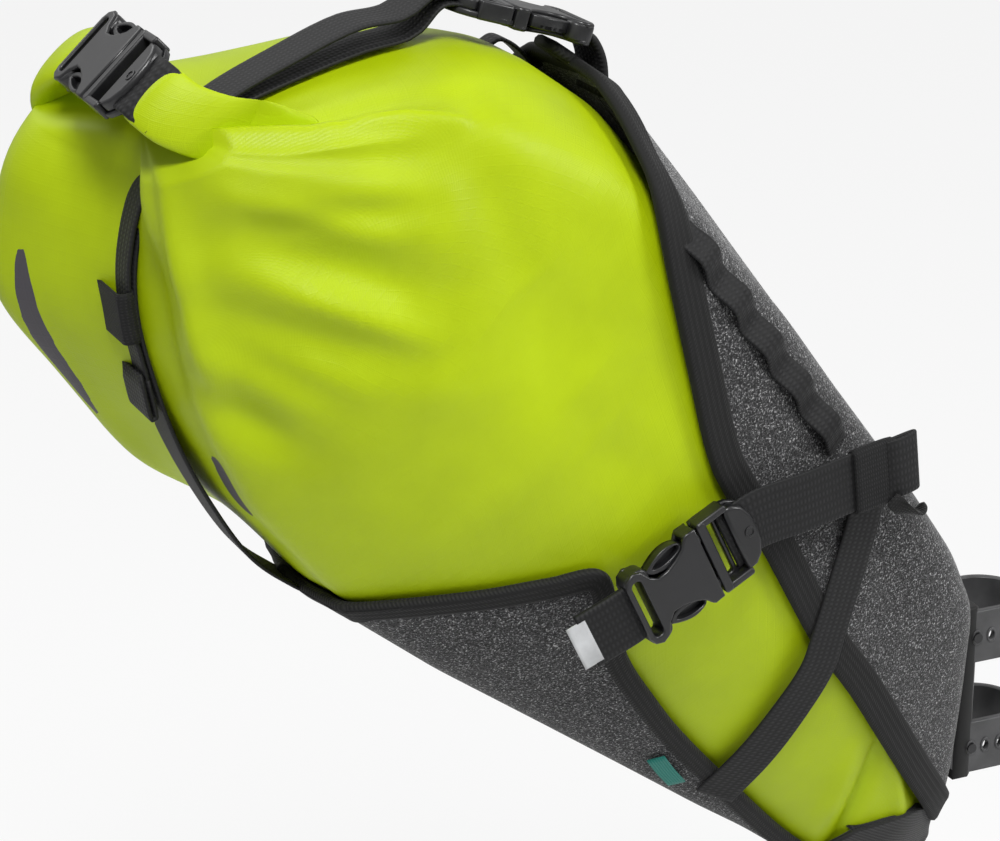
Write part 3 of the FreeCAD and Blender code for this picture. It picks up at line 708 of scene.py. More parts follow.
# ---------------------------------------------------------------- dry bag
FOLDS = [
    # start (x, y, z), end, width, depth: soft valleys are negative, ridges positive
    ((-284, -70, 300), (-332, -62, 300), 4, 5.5),
    ((-332, -62, 300), (-374, -48, 300), 5, 8.0),
    ((-300, -82, 272), (-362, -66, 268), 7, -4.0),
    ((-318, -80, 262), (-366, -62, 278), 5, 3.0),
    ((-342, -72, 240), (-300, -84, 222), 5, 3.0),
    ((-372, -54, 222), (-330, -78, 196), 5, -3.5),
    ((-384, -20, 300), (-386, -34, 262), 6, 3.5),
    ((-268, -84, 236), (-236, -86, 196), 20, -4.0),
    ((-78, -43, -2), (-86, -26, -52), 4, -7.0),
    ((-92, -44, 0), (-97, -28, -48), 5, 3.0),
    ((-70, -40, -8), (-56, -29, -48), 4, 3.0),
    ((-62, -37, -8), (-44, -26, -44), 4, -5.0),
    ((-282, -58, 306), (-372, -34, 300), 8, -4.5),
    ((-282, -76, 292), (-362, -64, 284), 10, -3.5),
    ((-372, -60, 264), (-300, -84, 240), 13, -8.0),
    ((-376, -50, 236), (-312, -82, 212), 10, -7.0),
    ((-368, -62, 252), (-318, -80, 232), 7, 3.5),
    ((-352, -66, 220), (-286, -86, 200), 11, 3.0),
    ((-374, -46, 200), (-348, -66, 176), 10, -7.0),
    ((-360, -60, 176), (-336, -74, 160), 8, 3.0),
    ((-284, -74, 292), (-262, -84, 236), 12, -3.0),
    ((-232, -86, 176), (-205, -84, 146), 12, -3.0),
    ((-214, -84, 206), (-206, -84, 160), 12, -2.0),
    ((-330, -78, 150), (-290, -84, 128), 14, 2.0),
    ((-386, -44, 284), (-374, -50, 200), 6, 6.0),
    ((-385, -20, 270), (-378, -28, 205), 8, -3.0),
    ((-378, 58, 258), (-306, 84, 236), 15, -5.0),
    ((-372, 60, 226), (-320, 82, 196), 12, -4.5),
    ((-398, 30, 262), (-398, 66, 226), 9, -5.0),
    ((-404, 40, 240), (-380, 70, 190), 7, 3.0),
    ((-382, 26, 286), (-368, 52, 205), 11, 2.0),
    ((-290, 80, 262), (-250, 84, 246), 13, -3.0),
    ((-360, 66, 200), (-300, 86, 186), 12, 2.5),
    ((-332, 44, 318), (-300, 8, 322), 8, -2.5),
    ((-345, 20, 312), (-326, 46, 316), 6, 2.5),
    ((-352, -16, 300), (-320, -34, 308), 8, -2.0),
]


# printed reflective strips: (x, y, z, half width) along each
STRIPS = [
    [(-398, 40, 268, 1.5), (-406, 41, 254, 3.5), (-413, 42, 236, 4.5), (-413, 42, 218, 5),
     (-408, 42, 198, 5), (-398, 42, 180, 4), (-388, 42, 162, 2.5), (-372, 40, 142, 1)],
    [(-364, -26, 165, 4), (-359, -24, 155, 4.5), (-354, -25, 143, 3.5), (-348, -26, 131, 0.8)],
]

PUSHES = [
    # middle (x, y, z), radius, and the move: the two ears of the rolled mouth and the slumped
    # far lobe of the closed end
    ((-364, -42, 282), 24, (-14, 0, 9)),
    ((-366, 50, 276), 30, (-18, 4, 12)),
    ((-372, -26, 262), 16, (-8, 0, 1)),
    ((-372, 30, 262), 20, (-12, 0, 1)),
    ((-376, 56, 222), 46, (-46, 12, 0)),
    ((-352, 60, 160), 36, (-20, 4, -10)),
]


def pushed(points):
    """Moves the skin by each push times exp(-(distance / radius)^2)."""
    moved = points.copy()
    for middle, radius, move in PUSHES:
        gap = np.linalg.norm(points - np.array(middle) * MM, axis=-1) / (radius * MM)
        moved += np.exp(-gap ** 2)[..., None] * np.array(move) * MM
    return moved


def folded(points, normals):
    """Adds the folds: each lowers or raises the skin by depth times exp(-(d / width)^2), where d
    is the distance from the fold's line, fading out towards both of its ends."""
    moved = points.copy()
    for start, end, width, depth in FOLDS:
        a, b = np.array(start) * MM, np.array(end) * MM
        run = b - a
        place = ((points - a) @ run) / (run @ run)
        inside = np.clip(place, 0, 1)
        distance = np.linalg.norm(points - (a + inside[..., None] * run), axis=-1)
        swell = 0.35 + 0.65 * np.sin(math.pi * np.clip(inside, 0.03, 0.97))
        fade = np.exp(-(distance / (width * MM)) ** 2) * swell
        moved += normals * (fade * depth * MM)[..., None]
    return moved


NECKS = {
    # ellipses from the roll's webbing tab into the bag: middle (x, y, z), half width along
    # ACROSS and half thickness along ALONG
    "right": [(-387, -31, 312, 12.6, 2.6), (-385, -37, 310, 13, 4), (-379, -42, 305, 13, 6),
              (-367, -46, 300, 13, 8), (-352, -47, 297, 12, 9), (-334, -43, 293, 8, 6)],
    "left": [(-387, 36, 312, 12.6, 2.6), (-390, 44, 309, 14, 5), (-391, 54, 302, 17, 8),
             (-385, 60, 291, 19, 10), (-372, 60, 280, 17, 10), (-354, 56, 270, 9, 6)],
}


def grid_normals(points, wrap=True):
    """Unit normals of a grid of points, from its rows and columns."""
    u = np.gradient(points, axis=0)
    v = (np.roll(points, -1, 1) - np.roll(points, 1, 1)) if wrap else np.gradient(points, axis=1)
    normal = np.cross(u, v)
    return normal / (np.linalg.norm(normal, axis=-1, keepdims=True) + 1e-12)


class BAG_OT_dry_bag(bpy.types.Operator):
    """Filled roll-top dry bag with its folds and printed strips"""
    bl_idname = "bag.dry_bag"
    bl_label = "Dry bag"

    def execute(self, context):
        ring = np.concatenate([HALF, (HALF * np.array([-1.0, 1.0]))[:, -2:0:-1]], 1)
        along = np.repeat(T_GRID[:, None], ring.shape[1], 1)
        points = pushed(bag_space(along, ring[..., 1], ring[..., 0]))
        normals = grid_normals(points)
        if (normals[ROWS // 2, COLUMNS // 2] @ SIDEWAYS) < 0:
            normals = -normals
        points = folded(points, normals)
        obj = outward(grid("dry_bag_skin", points, wrap=True, caps="fan"))
        spots = np.zeros(len(obj.data.vertices) * 3)
        obj.data.vertices.foreach_get("co", spots)
        spots = spots.reshape(-1, 3)
        margin = np.full(len(spots), -1.0)
        for strip in STRIPS:
            path = resampled(np.array(strip), 60)
            gaps = np.linalg.norm(spots[:, None] - path[None, :, :3] * MM, axis=-1) / MM
            nearest = gaps.argmin(1)
            margin = np.maximum(margin, path[nearest, 3] - gaps[np.arange(len(spots)), nearest])
        attribute = obj.data.attributes.new("Print", "FLOAT", "POINT")
        attribute.data.foreach_set("value", margin.astype(np.float32))
        dress(obj, "green", "bag",
              ["dry_bag", "rolled_mouth", "roll_ear_right", "roll_ear_left", "roll_stiffener"])
        turn = np.linspace(0, 2 * math.pi, 48, endpoint=False)
        flat = np.abs(np.sin(turn)) ** 0.8 * np.sign(np.sin(turn))
        for side, rows in NECKS.items():
            line = resampled(np.array(rows, float), 60) * MM
            ripple = 1 + 0.05 * np.sin(3 * turn)[None] * np.linspace(0, 1, 60)[:, None]
            points = (line[:, None, :3] + (line[:, 3:4] * np.cos(turn)[None])[..., None] * ACROSS
                      + (line[:, 4:5] * flat[None] * ripple)[..., None] * ALONG)
            neck = outward(grid("roll_neck_" + side, points, wrap=True, caps="flat"))
            dress(neck, "green", "bag")
        return {"FINISHED"}


# ---------------------------------------------------------------- harness
def shell(name, along, low_share, high_share, thickness, gap, flare=False):
    """Felt between two places round the section, as a closed solid: the outer face runs from the
    right edge over the top or the bottom to the left edge, and the inner face runs back."""
    steps = 60
    mix = np.linspace(0, 1, steps)
    right = low_share[:, None] + (high_share - low_share)[:, None] * mix[None]
    both = np.concatenate([right, right[:, ::-1]], 1)
    side = np.concatenate([np.full(right.shape, RIGHT), np.full(right.shape, LEFT)], 1)
    t = np.repeat(along[:, None], both.shape[1], 1)
    rise = wing_flare(t, both) if flare else 0
    outer = skin_points(t, both, gap + thickness + rise, side)
    inner = skin_points(t, both, gap + rise, side)
    ring = np.concatenate([outer, inner[:, ::-1]], 1)
    return outward(grid(name, ring, wrap=True, caps="flat"))


class BAG_OT_harness(bpy.types.Operator):
    """Felt harness: upper shell with its wings, lower sling and nose boot"""
    bl_idname = "bag.harness"
    bl_label = "Harness"

    def execute(self, context):
        sizes = context.scene.bag_sizes
        along, share = edge_line(WING_EDGE[::-1], 150)
        obj = shell("harness_upper_felt", along, share, np.ones_like(share), sizes.felt, sizes.felt_gap,
                    True)
        dress(obj, "felt", "bag", ["harness_upper_shell", "stiffener_sheet"])
        along, share = edge_line(SLING_EDGE[::-1], 150)
        obj = shell("harness_lower_felt", along, share, np.zeros_like(share), sizes.felt, sizes.felt_gap)
        dress(obj, "felt", "bag", ["harness_lower_sling"])
        nose, boot_t, boot_gap = STATIONS[0, 0], 2.4 * MM, 1.0 * MM
        along = np.linspace(nose, 22 * MM, 30)
        upper_edge = np.interp(along, [nose, -8 * MM, 22 * MM], [0.86, 0.60, 0.34])
        obj = shell("nose_boot_cap", along, np.zeros(30), upper_edge, boot_t, boot_gap)
        dress(obj, "boot", "bag", ["nose_boot"])
        # closed end of the boot: the section's outline drawn in to its middle, bulged by a parabola
        right = np.linspace(0, 1, 60)
        share = np.concatenate([right, right[-2:0:-1]])
        side = np.where(np.arange(len(share)) < len(right), RIGHT, LEFT)
        overlap = 0.5 * MM
        rim = skin_points(np.full(len(share), nose + overlap), share, boot_t + boot_gap - 0.1 * MM, side)
        middle = rim.mean(0)
        reach = np.linspace(1, 0.04, 14)[:, None, None]
        dome = middle + (rim - middle) * reach - ALONG * (4 * MM) * (1 - reach ** 2)
        dress(outward(grid("nose_boot_end", dome, wrap=True, caps="flat")), "boot", "bag", ["nose_boot"])
        return {"FINISHED"}


def edge_tape(name, along, share, lift, width, thickness, inwards, count):
    """Binding tape folded over a felt edge that runs up the right side, across the middle and
    down the left: the edge's line is drawn half the tape's width towards the felt."""
    right = skin_points(along, share, lift, RIGHT)
    above = skin_points(along, share, lift + 0.001, RIGHT)
    mirror = np.array([1.0, -1.0, 1.0])
    line = np.concatenate([right, right[::-1] * mirror])
    outs = np.concatenate([above - right, (above - right)[::-1] * mirror])
    outs = unit(outs)
    keep = np.concatenate([[True], np.linalg.norm(np.diff(line, axis=0), axis=1) > 0.0008])
    line, outs = line[keep], outs[keep]
    run = np.gradient(line, axis=0)
    run = unit(run)
    inward = np.cross(run, outs) * inwards
    return webbing(name, line + inward * (width / 2 - 1.5 * MM), outs, width, thickness, count)


def wing_flare(along, share):
    """How far the harness's rear edge stands off the dry bag, most of all over its top."""
    towards_rear = np.interp(along, [0.20, 0.30, 0.363], [0, 0.45, 1])
    return towards_rear * np.interp(share, [0.55, 0.95], [2.0, 7.5]) * MM


class BAG_OT_bindings(bpy.types.Operator):
    """Binding tape round the wings' edge and round the sling's"""
    bl_idname = "bag.bindings"
    bl_label = "Bindings"

    def execute(self, context):
        sizes = context.scene.bag_sizes
        middle = sizes.felt_gap + sizes.felt / 2
        along, share = edge_line(WING_EDGE[::-1], 150)
        across = np.linspace(0, 1, 30)[1:]
        along = np.concatenate([along, np.full(29, along[-1])])
        share = np.concatenate([share, share[-1] + (1 - share[-1]) * across])
        lift = middle + wing_flare(along, share)
        obj = edge_tape("wing_binding", along, share, lift, sizes.wing_tape, sizes.felt + 1.8 * MM, 1.0, 520)
        dress(obj, "binding", "bag", ["upper_binding"])
        along, share = edge_line(SLING_EDGE[::-1], 150)
        along = np.concatenate([along, np.full(29, along[-1])])
        share = np.concatenate([share, share[-1] * (1 - across)])
        lift = np.full(along.shape, middle)
        obj = edge_tape("sling_binding", along, share, lift, sizes.sling_tape, sizes.felt + 1.6 * MM, -1.0,
                        560)
        dress(obj, "binding", "bag", ["lower_binding"])
        along, share = edge_line(SLING_EDGE[:2], 30)
        obj = shell("tail_cuff_band", along, share, np.zeros_like(share), sizes.felt + 1.6 * MM,
                    sizes.felt_gap - 0.8 * MM)
        dress(obj, "binding", "bag", ["tail_cuff"])
        return {"FINISHED"}


# ---------------------------------------------------------------- straps
WEB_LEVEL = 4.5 * MM       # middle of the webbing above a buckle's back face


def joint_of(name):
    """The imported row's joint of that name."""
    return next(j for j in frame["joints"] if j["name"] == name)


def buckle_place(base, twin=""):
    """A buckle's own axes, read from its joints: the mouth's middle, the way the plug pulls out,
    the way across and the way out of the bag."""
    a = joint_of(base + twin + "_squeeze_a")
    b = joint_of(base + twin + "_squeeze_b")
    pa, pb = np.array(a["pos_m"]), np.array(b["pos_m"])
    along = np.array(joint_of(base + twin + "_release")["axis"])
    across = unit(pa - pb)
    out = np.cross(along, across)
    middle = np.array([-0.20, 0.0, 0.15])
    if ((pa + pb) / 2 - middle) @ out < 0:
        out = -out
    return (pa + pb) / 2, along, across, out


def flank_points(path, lift, side):
    """Points on the bag's flank under a path drawn in side view, and the outward directions."""
    path = np.asarray(path, float) * MM
    along, across = side_view(path[:, 0], path[:, 1])
    share = share_at(along, across)
    spots = skin_points(along, share, np.asarray(lift), side)
    outs = skin_points(along, share, np.asarray(lift) + 0.001, side) - spots
    return spots, unit(outs)


class BAG_OT_side_straps(bpy.types.Operator):
    """Compression straps, their tips, keepers, stubs, Y webs and daisy chains"""
    bl_idname = "bag.side_straps"
    bl_label = "Side straps"

    def execute(self, context):
        width = context.scene.bag_sizes.webbing
        for label, side in (("right", RIGHT), ("left", LEFT)):
            twin = "_" + label
            mouth, along, _, out = buckle_place("side_buckle", twin)
            level = out * WEB_LEVEL
            slide = np.array(joint_of("keeper" + twin + "_slide")["axis"])
            tip_spot = np.array(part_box("side_strap_tip" + twin)).mean(0)
            start = mouth + along * 11 * MM + level
            knee = mouth + along * 27 * MM + level
            reach = (tip_spot - knee) @ slide - 15 * MM
            end = knee + slide * reach
            bow = out * 2.0 * MM
            path = np.stack([start, knee, knee + slide * reach * 0.35 + bow * 0.4,
                             knee + slide * reach * 0.7, end])
            outs = np.repeat(out[None], len(path), 0)
            obj = webbing("side_strap_web" + twin, path, outs, width, WEB_T, 80)
            dress(obj, "web", None, ["side_strap" + twin, "side_slack" + twin])
            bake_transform(obj)
            # doubled tip, standing proud
            tip = np.stack([end - slide * 2 * MM + out * 1.9 * MM, end + slide * 6 * MM + out * 2.3 * MM,
                            end + slide * 13 * MM + out * 1.2 * MM, end + slide * 13.5 * MM - out * 0.6 * MM,
                            end + slide * 1 * MM - out * 0.3 * MM])
            tip_outs = np.stack([out, out, slide + out * 0.4, slide - out, -out])
            obj = webbing("side_strap_fold" + twin, tip, tip_outs, width, WEB_T, 40)
            dress(obj, "web", "bag", ["side_strap_tip" + twin])
            # stub under the socket
            back = mouth - along * 33 * MM + level
            path = np.stack([back, back - along * 8 * MM - out * 0.5 * MM,
                             back - along * 24 * MM - out * 3.5 * MM])
            obj = webbing("side_stub_web" + twin, path, np.repeat(out[None], 3, 0), width, 2 * WEB_T, 24)
            dress(obj, "web", "bag", ["side_stub" + twin])
            path = np.stack([back - along * 21 * MM - out * 1.6 * MM,
                             back - along * 29 * MM - out * 3.2 * MM])
            obj = webbing("side_flash" + twin, path, np.repeat(out[None], 2, 0), width - 5 * MM, 0.7 * MM, 8)
            dress(obj, "silver", "bag", ["reflective_tab" + twin])
            # Y web, from under the keeper down to the sling
            path = [(-103, 128), (-107, 110), (-113, 90), (-120, 68), (-125, 52), (-134, 32), (-143, 12),
                    (-152, -8)]
            lift = np.array([8, 7.2, 6.8, 6.6, 6.8, 5.5, 5.5, 7.2]) * MM
            spots, outs = flank_points(path, lift, side)
            obj = webbing("y_web_strap" + twin, spots, outs, 19 * MM, WEB_T, 60)
            dress(obj, "web", "bag", ["y_web" + twin])
            # daisy chain: loops between bar tacks
            count = 41
            share = np.linspace(0, 1, count)
            route = np.stack([-197 + 76 * share, 246 - 98 * share], 1)
            waves = 6.4 * MM + 4.2 * MM * np.sin(math.pi * 5 * share) ** 2
            spots, outs = flank_points(route, waves, side)
            obj = webbing("daisy_chain_web" + twin, spots, outs, 12 * MM, WEB_T, 160)
            dress(obj, "web", "bag", ["daisy_chain" + twin])
            # keeper: a wide elastic loop round the strap
            spot = np.array(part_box("side_keeper" + twin)).mean(0)
            obj = elastic_loop("side_keeper_band" + twin, spot, slide, out, width + 2.4 * MM, 5.2 * MM,
                               21 * MM)
            dress(obj, "elastic", "side_keeper" + twin, ["side_keeper" + twin])
        spots, outs = flank_points([(-183, 18), (-176, 9), (-169, 1)], [7 * MM] * 3, RIGHT)
        obj = webbing("side_label_web", spots, outs, 8 * MM, 0.8 * MM, 10)
        dress(obj, "label", "bag", ["side_label"])
        return {"FINISHED"}


def elastic_loop(name, middle, along, out, width, height, length):
    """A flat loop round webbing: a rounded ring carried along the strap, with thickness."""
    along = unit(along)
    out = unit(out - along * (out @ along))
    across = np.cross(out, along)
    thick = 1.3 * MM
    corner = height / 2 - 0.1 * MM
    ring = np.array(rounded_box((-width / 2, -height / 2), (width / 2, height / 2), corner, 6))
    inner = ring * np.array([1 - 2 * thick / width, 1 - 2 * thick / height])
    steps = np.linspace(-0.5, 0.5, 9)
    bulge = 1 - 0.03 * (2 * steps) ** 4
    outer_rows = [middle + along * length * s + across * ring[:, :1] * b + out * ring[:, 1:] * b
                  for s, b in zip(steps, bulge)]
    inner_rows = [middle + along * length * s + across * inner[:, :1] + out * inner[:, 1:] for s in steps]
    tube = np.array(outer_rows + inner_rows[::-1] + outer_rows[:1])
    return outward(grid(name, tube, wrap=True), 0.01 * MM)


class BAG_OT_centre_strap(bpy.types.Operator):
    """The strap round the closed end with its returned tail, its keeper and the top stub"""
    bl_idname = "bag.centre_strap"
    bl_label = "Centre strap"

    def execute(self, context):
        width = context.scene.bag_sizes.webbing
        mouth, along, _, out = buckle_place("top_buckle")
        lock = mouth + along * 11 * MM + out * 4.2 * MM

        route = [(-318, 98), (-330, 105), (-347, 120), (-363, 146), (-375, 172), (-383, 198),
                 (-388, 222), (-388, 244), (-382, 266), (-369, 285), (-348, 297), (-322, 306), (-297, 313),
                 (-276, 317)]
        route = np.array([(x, 0, z) for x, z in route]) * MM
        route = np.concatenate([route, [lock + along * 16 * MM - out * 1.5 * MM, lock]])
        run = np.gradient(route, axis=0)
        outs = np.stack([-run[:, 2], 0 * run[:, 0], run[:, 0]], 1)
        outs = unit(outs)
        obj = webbing("centre_strap_web", route, outs, width, WEB_T, 260)
        dress(obj, "web", None, ["centre_strap", "centre_slack"])
        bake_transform(obj)
        # the returned tail lies over it with a little air between
        air = np.interp(np.arange(len(route) - 5), [0, 4, 5, 7, 8, 9, 11],
                        [2.3, 2.3, 4.0, 9.0, 8.0, 5.0, 3.2])
        over = route[5:] + outs[5:] * air[:, None] * MM
        obj = webbing("centre_tail_web", over, outs[5:], width, WEB_T, 220)
        # its hemmed end, folded back on itself
        start, way, out_way = over[0], over[0] - over[1], outs[5]
        way = unit(way)
        hem = np.array([start, start + way * 14 * MM, start + way * 15.5 * MM + out_way * 1.2 * MM,
                        start + way * 14 * MM + out_way * 2.4 * MM,
                        start - way * 3 * MM + out_way * 2.2 * MM])
        hem_outs = np.array([-out_way, -out_way, way, out_way, out_way])
        hemmed = webbing("centre_tail_hem", hem, hem_outs, width, WEB_T, 60)
        dress(hemmed, "web", "bag")
        dress(obj, "web", None, ["centre_strap_tail"])
        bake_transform(obj)
        slide = np.array(joint_of("rear_keeper_slide")["axis"])
        spot = np.array(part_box("rear_keeper")).mean(0)
        outward_way = np.array([-slide[2], 0, slide[0]])
        obj = elastic_loop("rear_keeper_band", spot, slide, outward_way, width + 3 * MM, 7.4 * MM, 20 * MM)
        dress(obj, "elastic", "rear_keeper", ["rear_keeper"])
        # stub from the top socket down to the harness
        back = mouth - along * 34 * MM + out * 4.2 * MM
        stub = np.array([back, back - along * 5 * MM - out * 2 * MM, back - along * 11 * MM - out * 9 * MM,
                         back - along * 16 * MM - out * 22 * MM])
        lean = np.array([0, 0.3, 1.2, 2.0])[:, None]
        obj = webbing("top_stub_web", stub, out * (1 - lean) - along * lean, width, 2 * WEB_T, 40)
        dress(obj, "web", "bag", ["top_stub"])
        return {"FINISHED"}


class BAG_OT_roll_tabs(bpy.types.Operator):
    """Webbing tabs between the roll's two ears and its buckle"""
    bl_idname = "bag.roll_tabs"
    bl_label = "Roll tabs"

    def execute(self, context):
        width = context.scene.bag_sizes.webbing
        mouth, along, _, out = buckle_place("roll_buckle")
        level = out * WEB_LEVEL
        start = mouth + along * 11 * MM + level
        path = np.stack([start, start + along * 14 * MM, start + along * 20 * MM - out * 3 * MM,
                         start + along * 25 * MM - out * 9 * MM])
        outs = np.stack([out, out, out + along * 0.5, out + along])
        obj = webbing("roll_tab_web_right", path, outs, width, WEB_T * 1.5, 40)
        dress(obj, "web", None, ["roll_tab_right"])
        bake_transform(obj)
        back = mouth - along * 33 * MM + level
        path = np.stack([back, back - along * 8 * MM, back - along * 18 * MM - out * 6 * MM,
                         back - along * 26 * MM - out * 15 * MM])
        outs = np.stack([out, out, out - along * 0.5, out - along])
        obj = webbing("roll_tab_web_left", path, outs, width, WEB_T * 1.5, 40)
        dress(obj, "web", "bag", ["roll_tab_left"])
        return {"FINISHED"}


# ---------------------------------------------------------------- buckles
def socket_half(name, place):
    """Socket: two waisted face plates, side posts at the mouth, and a webbing bar."""
    right = [(-0.2, 16.7), (-5.0, 16.9), (-6.4, 15.6), (-8.5, 12.6), (-12.5, 10.4), (-17.5, 8.6), (-22, 8.4),
             (-25, 11.0), (-27.4, 15.6), (-31, 17.0), (-34.4, 15.4), (-35.8, 12.0)]
    face = np.array([(a, -b) for a, b in right[::-1]] + right) * MM
    slot = np.array(rounded_box((-33.4, -13), (-29.0, 13), 1.8)) * MM
    parts = [plate(name + "_front", [face, slot[::-1]], 6.8 * MM, 9 * MM, 0.9 * MM, place),
             plate(name + "_back", [face, slot[::-1]], 0 * MM, 2.2 * MM, 0.9 * MM, place)]
    ring = np.array(rounded_box((-35.6, -16.6), (-24.6, 16.6), 4)) * MM
    parts.append(plate(name + "_bar", [ring, slot[::-1]], 0.8 * MM, 8.2 * MM, 1.2 * MM, place))
    for sign in (-1, 1):
        low, high = sorted((sign * 13.4, sign * 16.8))
        post = np.array(rounded_box((-6, low), (-0.1, high), 1.0)) * MM
        parts.append(plate(name + "_post", [post], 0.8 * MM, 8.2 * MM, 0.4 * MM, place))
    return joined(name, parts)


def plug_half(name, place):
    """Plug: a shouldered bar at the mouth, two side rails with a dark well between them, a wide
    tension plate with a rounded end and a small round mark, and a centre tongue."""
    outline = np.array([(0.6, -16.9), (4, -17.2), (12, -16.9), (18, -15.5), (22, -12.5), (24.6, -7),
                        (25.2, 0), (24.6, 7), (22, 12.5), (18, 15.5), (12, 16.9), (4, 17.2),
                        (0.6, 16.9)]) * MM
    slots = [np.array(rounded_box((5.8, -13), (9.2, 13), 1.2))[::-1] * MM,
             np.array(rounded_box((11.2, -13), (14.0, 13), 1.2))[::-1] * MM]
    parts = [plate(name + "_base", [outline] + slots, 0.9 * MM, 3.6 * MM, 0.8 * MM, place)]
    grip = np.array([(13.6, -14.8), (18, -14.4), (21.4, -11.6), (23.6, -6.6), (24.2, 0), (23.6, 6.6),
                     (21.4, 11.6), (18, 14.4), (13.6, 14.8)]) * MM
    parts.append(plate(name + "_grip", [grip], 3.0 * MM, 8.2 * MM, 1.4 * MM, place))
    shoulder = np.array(rounded_box((0.7, -16.9), (5.0, 16.9), 1.6)) * MM
    parts.append(plate(name + "_shoulder", [shoulder], 0.6 * MM, 8.7 * MM, 1.1 * MM, place))
    for sign in (-1, 1):
        low, high = sorted((sign * 14.0, sign * 17.1))
        rail = np.array(rounded_box((1.0, low), (15.5, high), 1.2)) * MM
        parts.append(plate(name + "_rail", [rail], 0.8 * MM, 8.5 * MM, 1.0 * MM, place))
    turn = np.linspace(0, 2 * math.pi, 24, endpoint=False)
    ring = np.stack([20.2 + 2.3 * np.cos(turn), 2.3 * np.sin(turn)], 1) * MM
    hole = np.stack([20.2 + 1.5 * np.cos(turn), 1.5 * np.sin(turn)], 1)[::-1] * MM
    parts.append(plate(name + "_mark", [ring, hole], 7.8 * MM, 8.6 * MM, 0.15 * MM, place))
    tongue = np.array(rounded_box((-15.5, -2.3), (2, 2.3), 1.2)) * MM
    parts.append(plate(name + "_tongue", [tongue], 3.2 * MM, 5.8 * MM, 0.5 * MM, place))
    return joined(name, parts)


def leaf_arm(name, place, sign):
    """Spring arm with its leaf-shaped end, which shows in the socket's side opening."""
    outline = [(0.5, 12.8), (-6.4, 13.0), (-8.4, 15.4), (-13, 16.8), (-18, 16.2), (-23.6, 13.8), (-25, 12.4),
               (-22, 9.8), (-16, 8.6), (-8, 8.9), (0.5, 9.0)]
    window = [(-9, 14.6), (-13, 15.2), (-18, 14.4), (-22, 12.4), (-18, 11.0), (-13, 11.4), (-9, 12.8)]
    loop = smooth_loop(outline, 66) * np.array([1.0, sign]) * MM
    hole = smooth_loop(window, 40) * np.array([1.0, sign]) * MM
    if sign > 0:
        loop = loop[::-1]
    else:
        hole = hole[::-1]
    rim = plate(name + "_rim", [loop, hole], 2.4 * MM, 7.4 * MM, 0.6 * MM, place)
    web = plate(name + "_floor", [loop], 2.6 * MM, 4.6 * MM, 0.4 * MM, place)
    return joined(name, [rim, web])


class BAG_OT_buckles(bpy.types.Operator):
    """The four side-release buckles"""
    bl_idname = "bag.buckles"
    bl_label = "Buckles"

    def execute(self, context):
        for base, twin in (("side_buckle", "_right"), ("side_buckle", "_left"), ("top_buckle", ""),
                           ("roll_buckle", "")):
            place = buckle_place(base, twin)
            short = base + twin
            obj = socket_half(short + "_shell", place)
            dress(obj, "plastic", "bag", [base + "_socket" + twin])
            obj = plug_half(short + "_ladder", place)
            dress(obj, "plastic", base + "_plug" + twin, [base + "_plug" + twin])
            for arm, sign in (("a", 1), ("b", -1)):
                node = base + "_arm_" + arm + twin
                obj = leaf_arm(short + "_leaf_" + arm, place, sign)
                dress(obj, "plastic", node, [node])
        return {"FINISHED"}


# ---------------------------------------------------------------- seat post end
POST_R = 15.8 * MM
RUBBER_T = 3.0 * MM
RUBBER_H = 24.0 * MM
HOLES = [12.0, 19.5, 27.0, 34.5, 42.0]     # along the band from its free end, millimetres
HOLE_HALF = (1.9 * MM, 2.9 * MM)


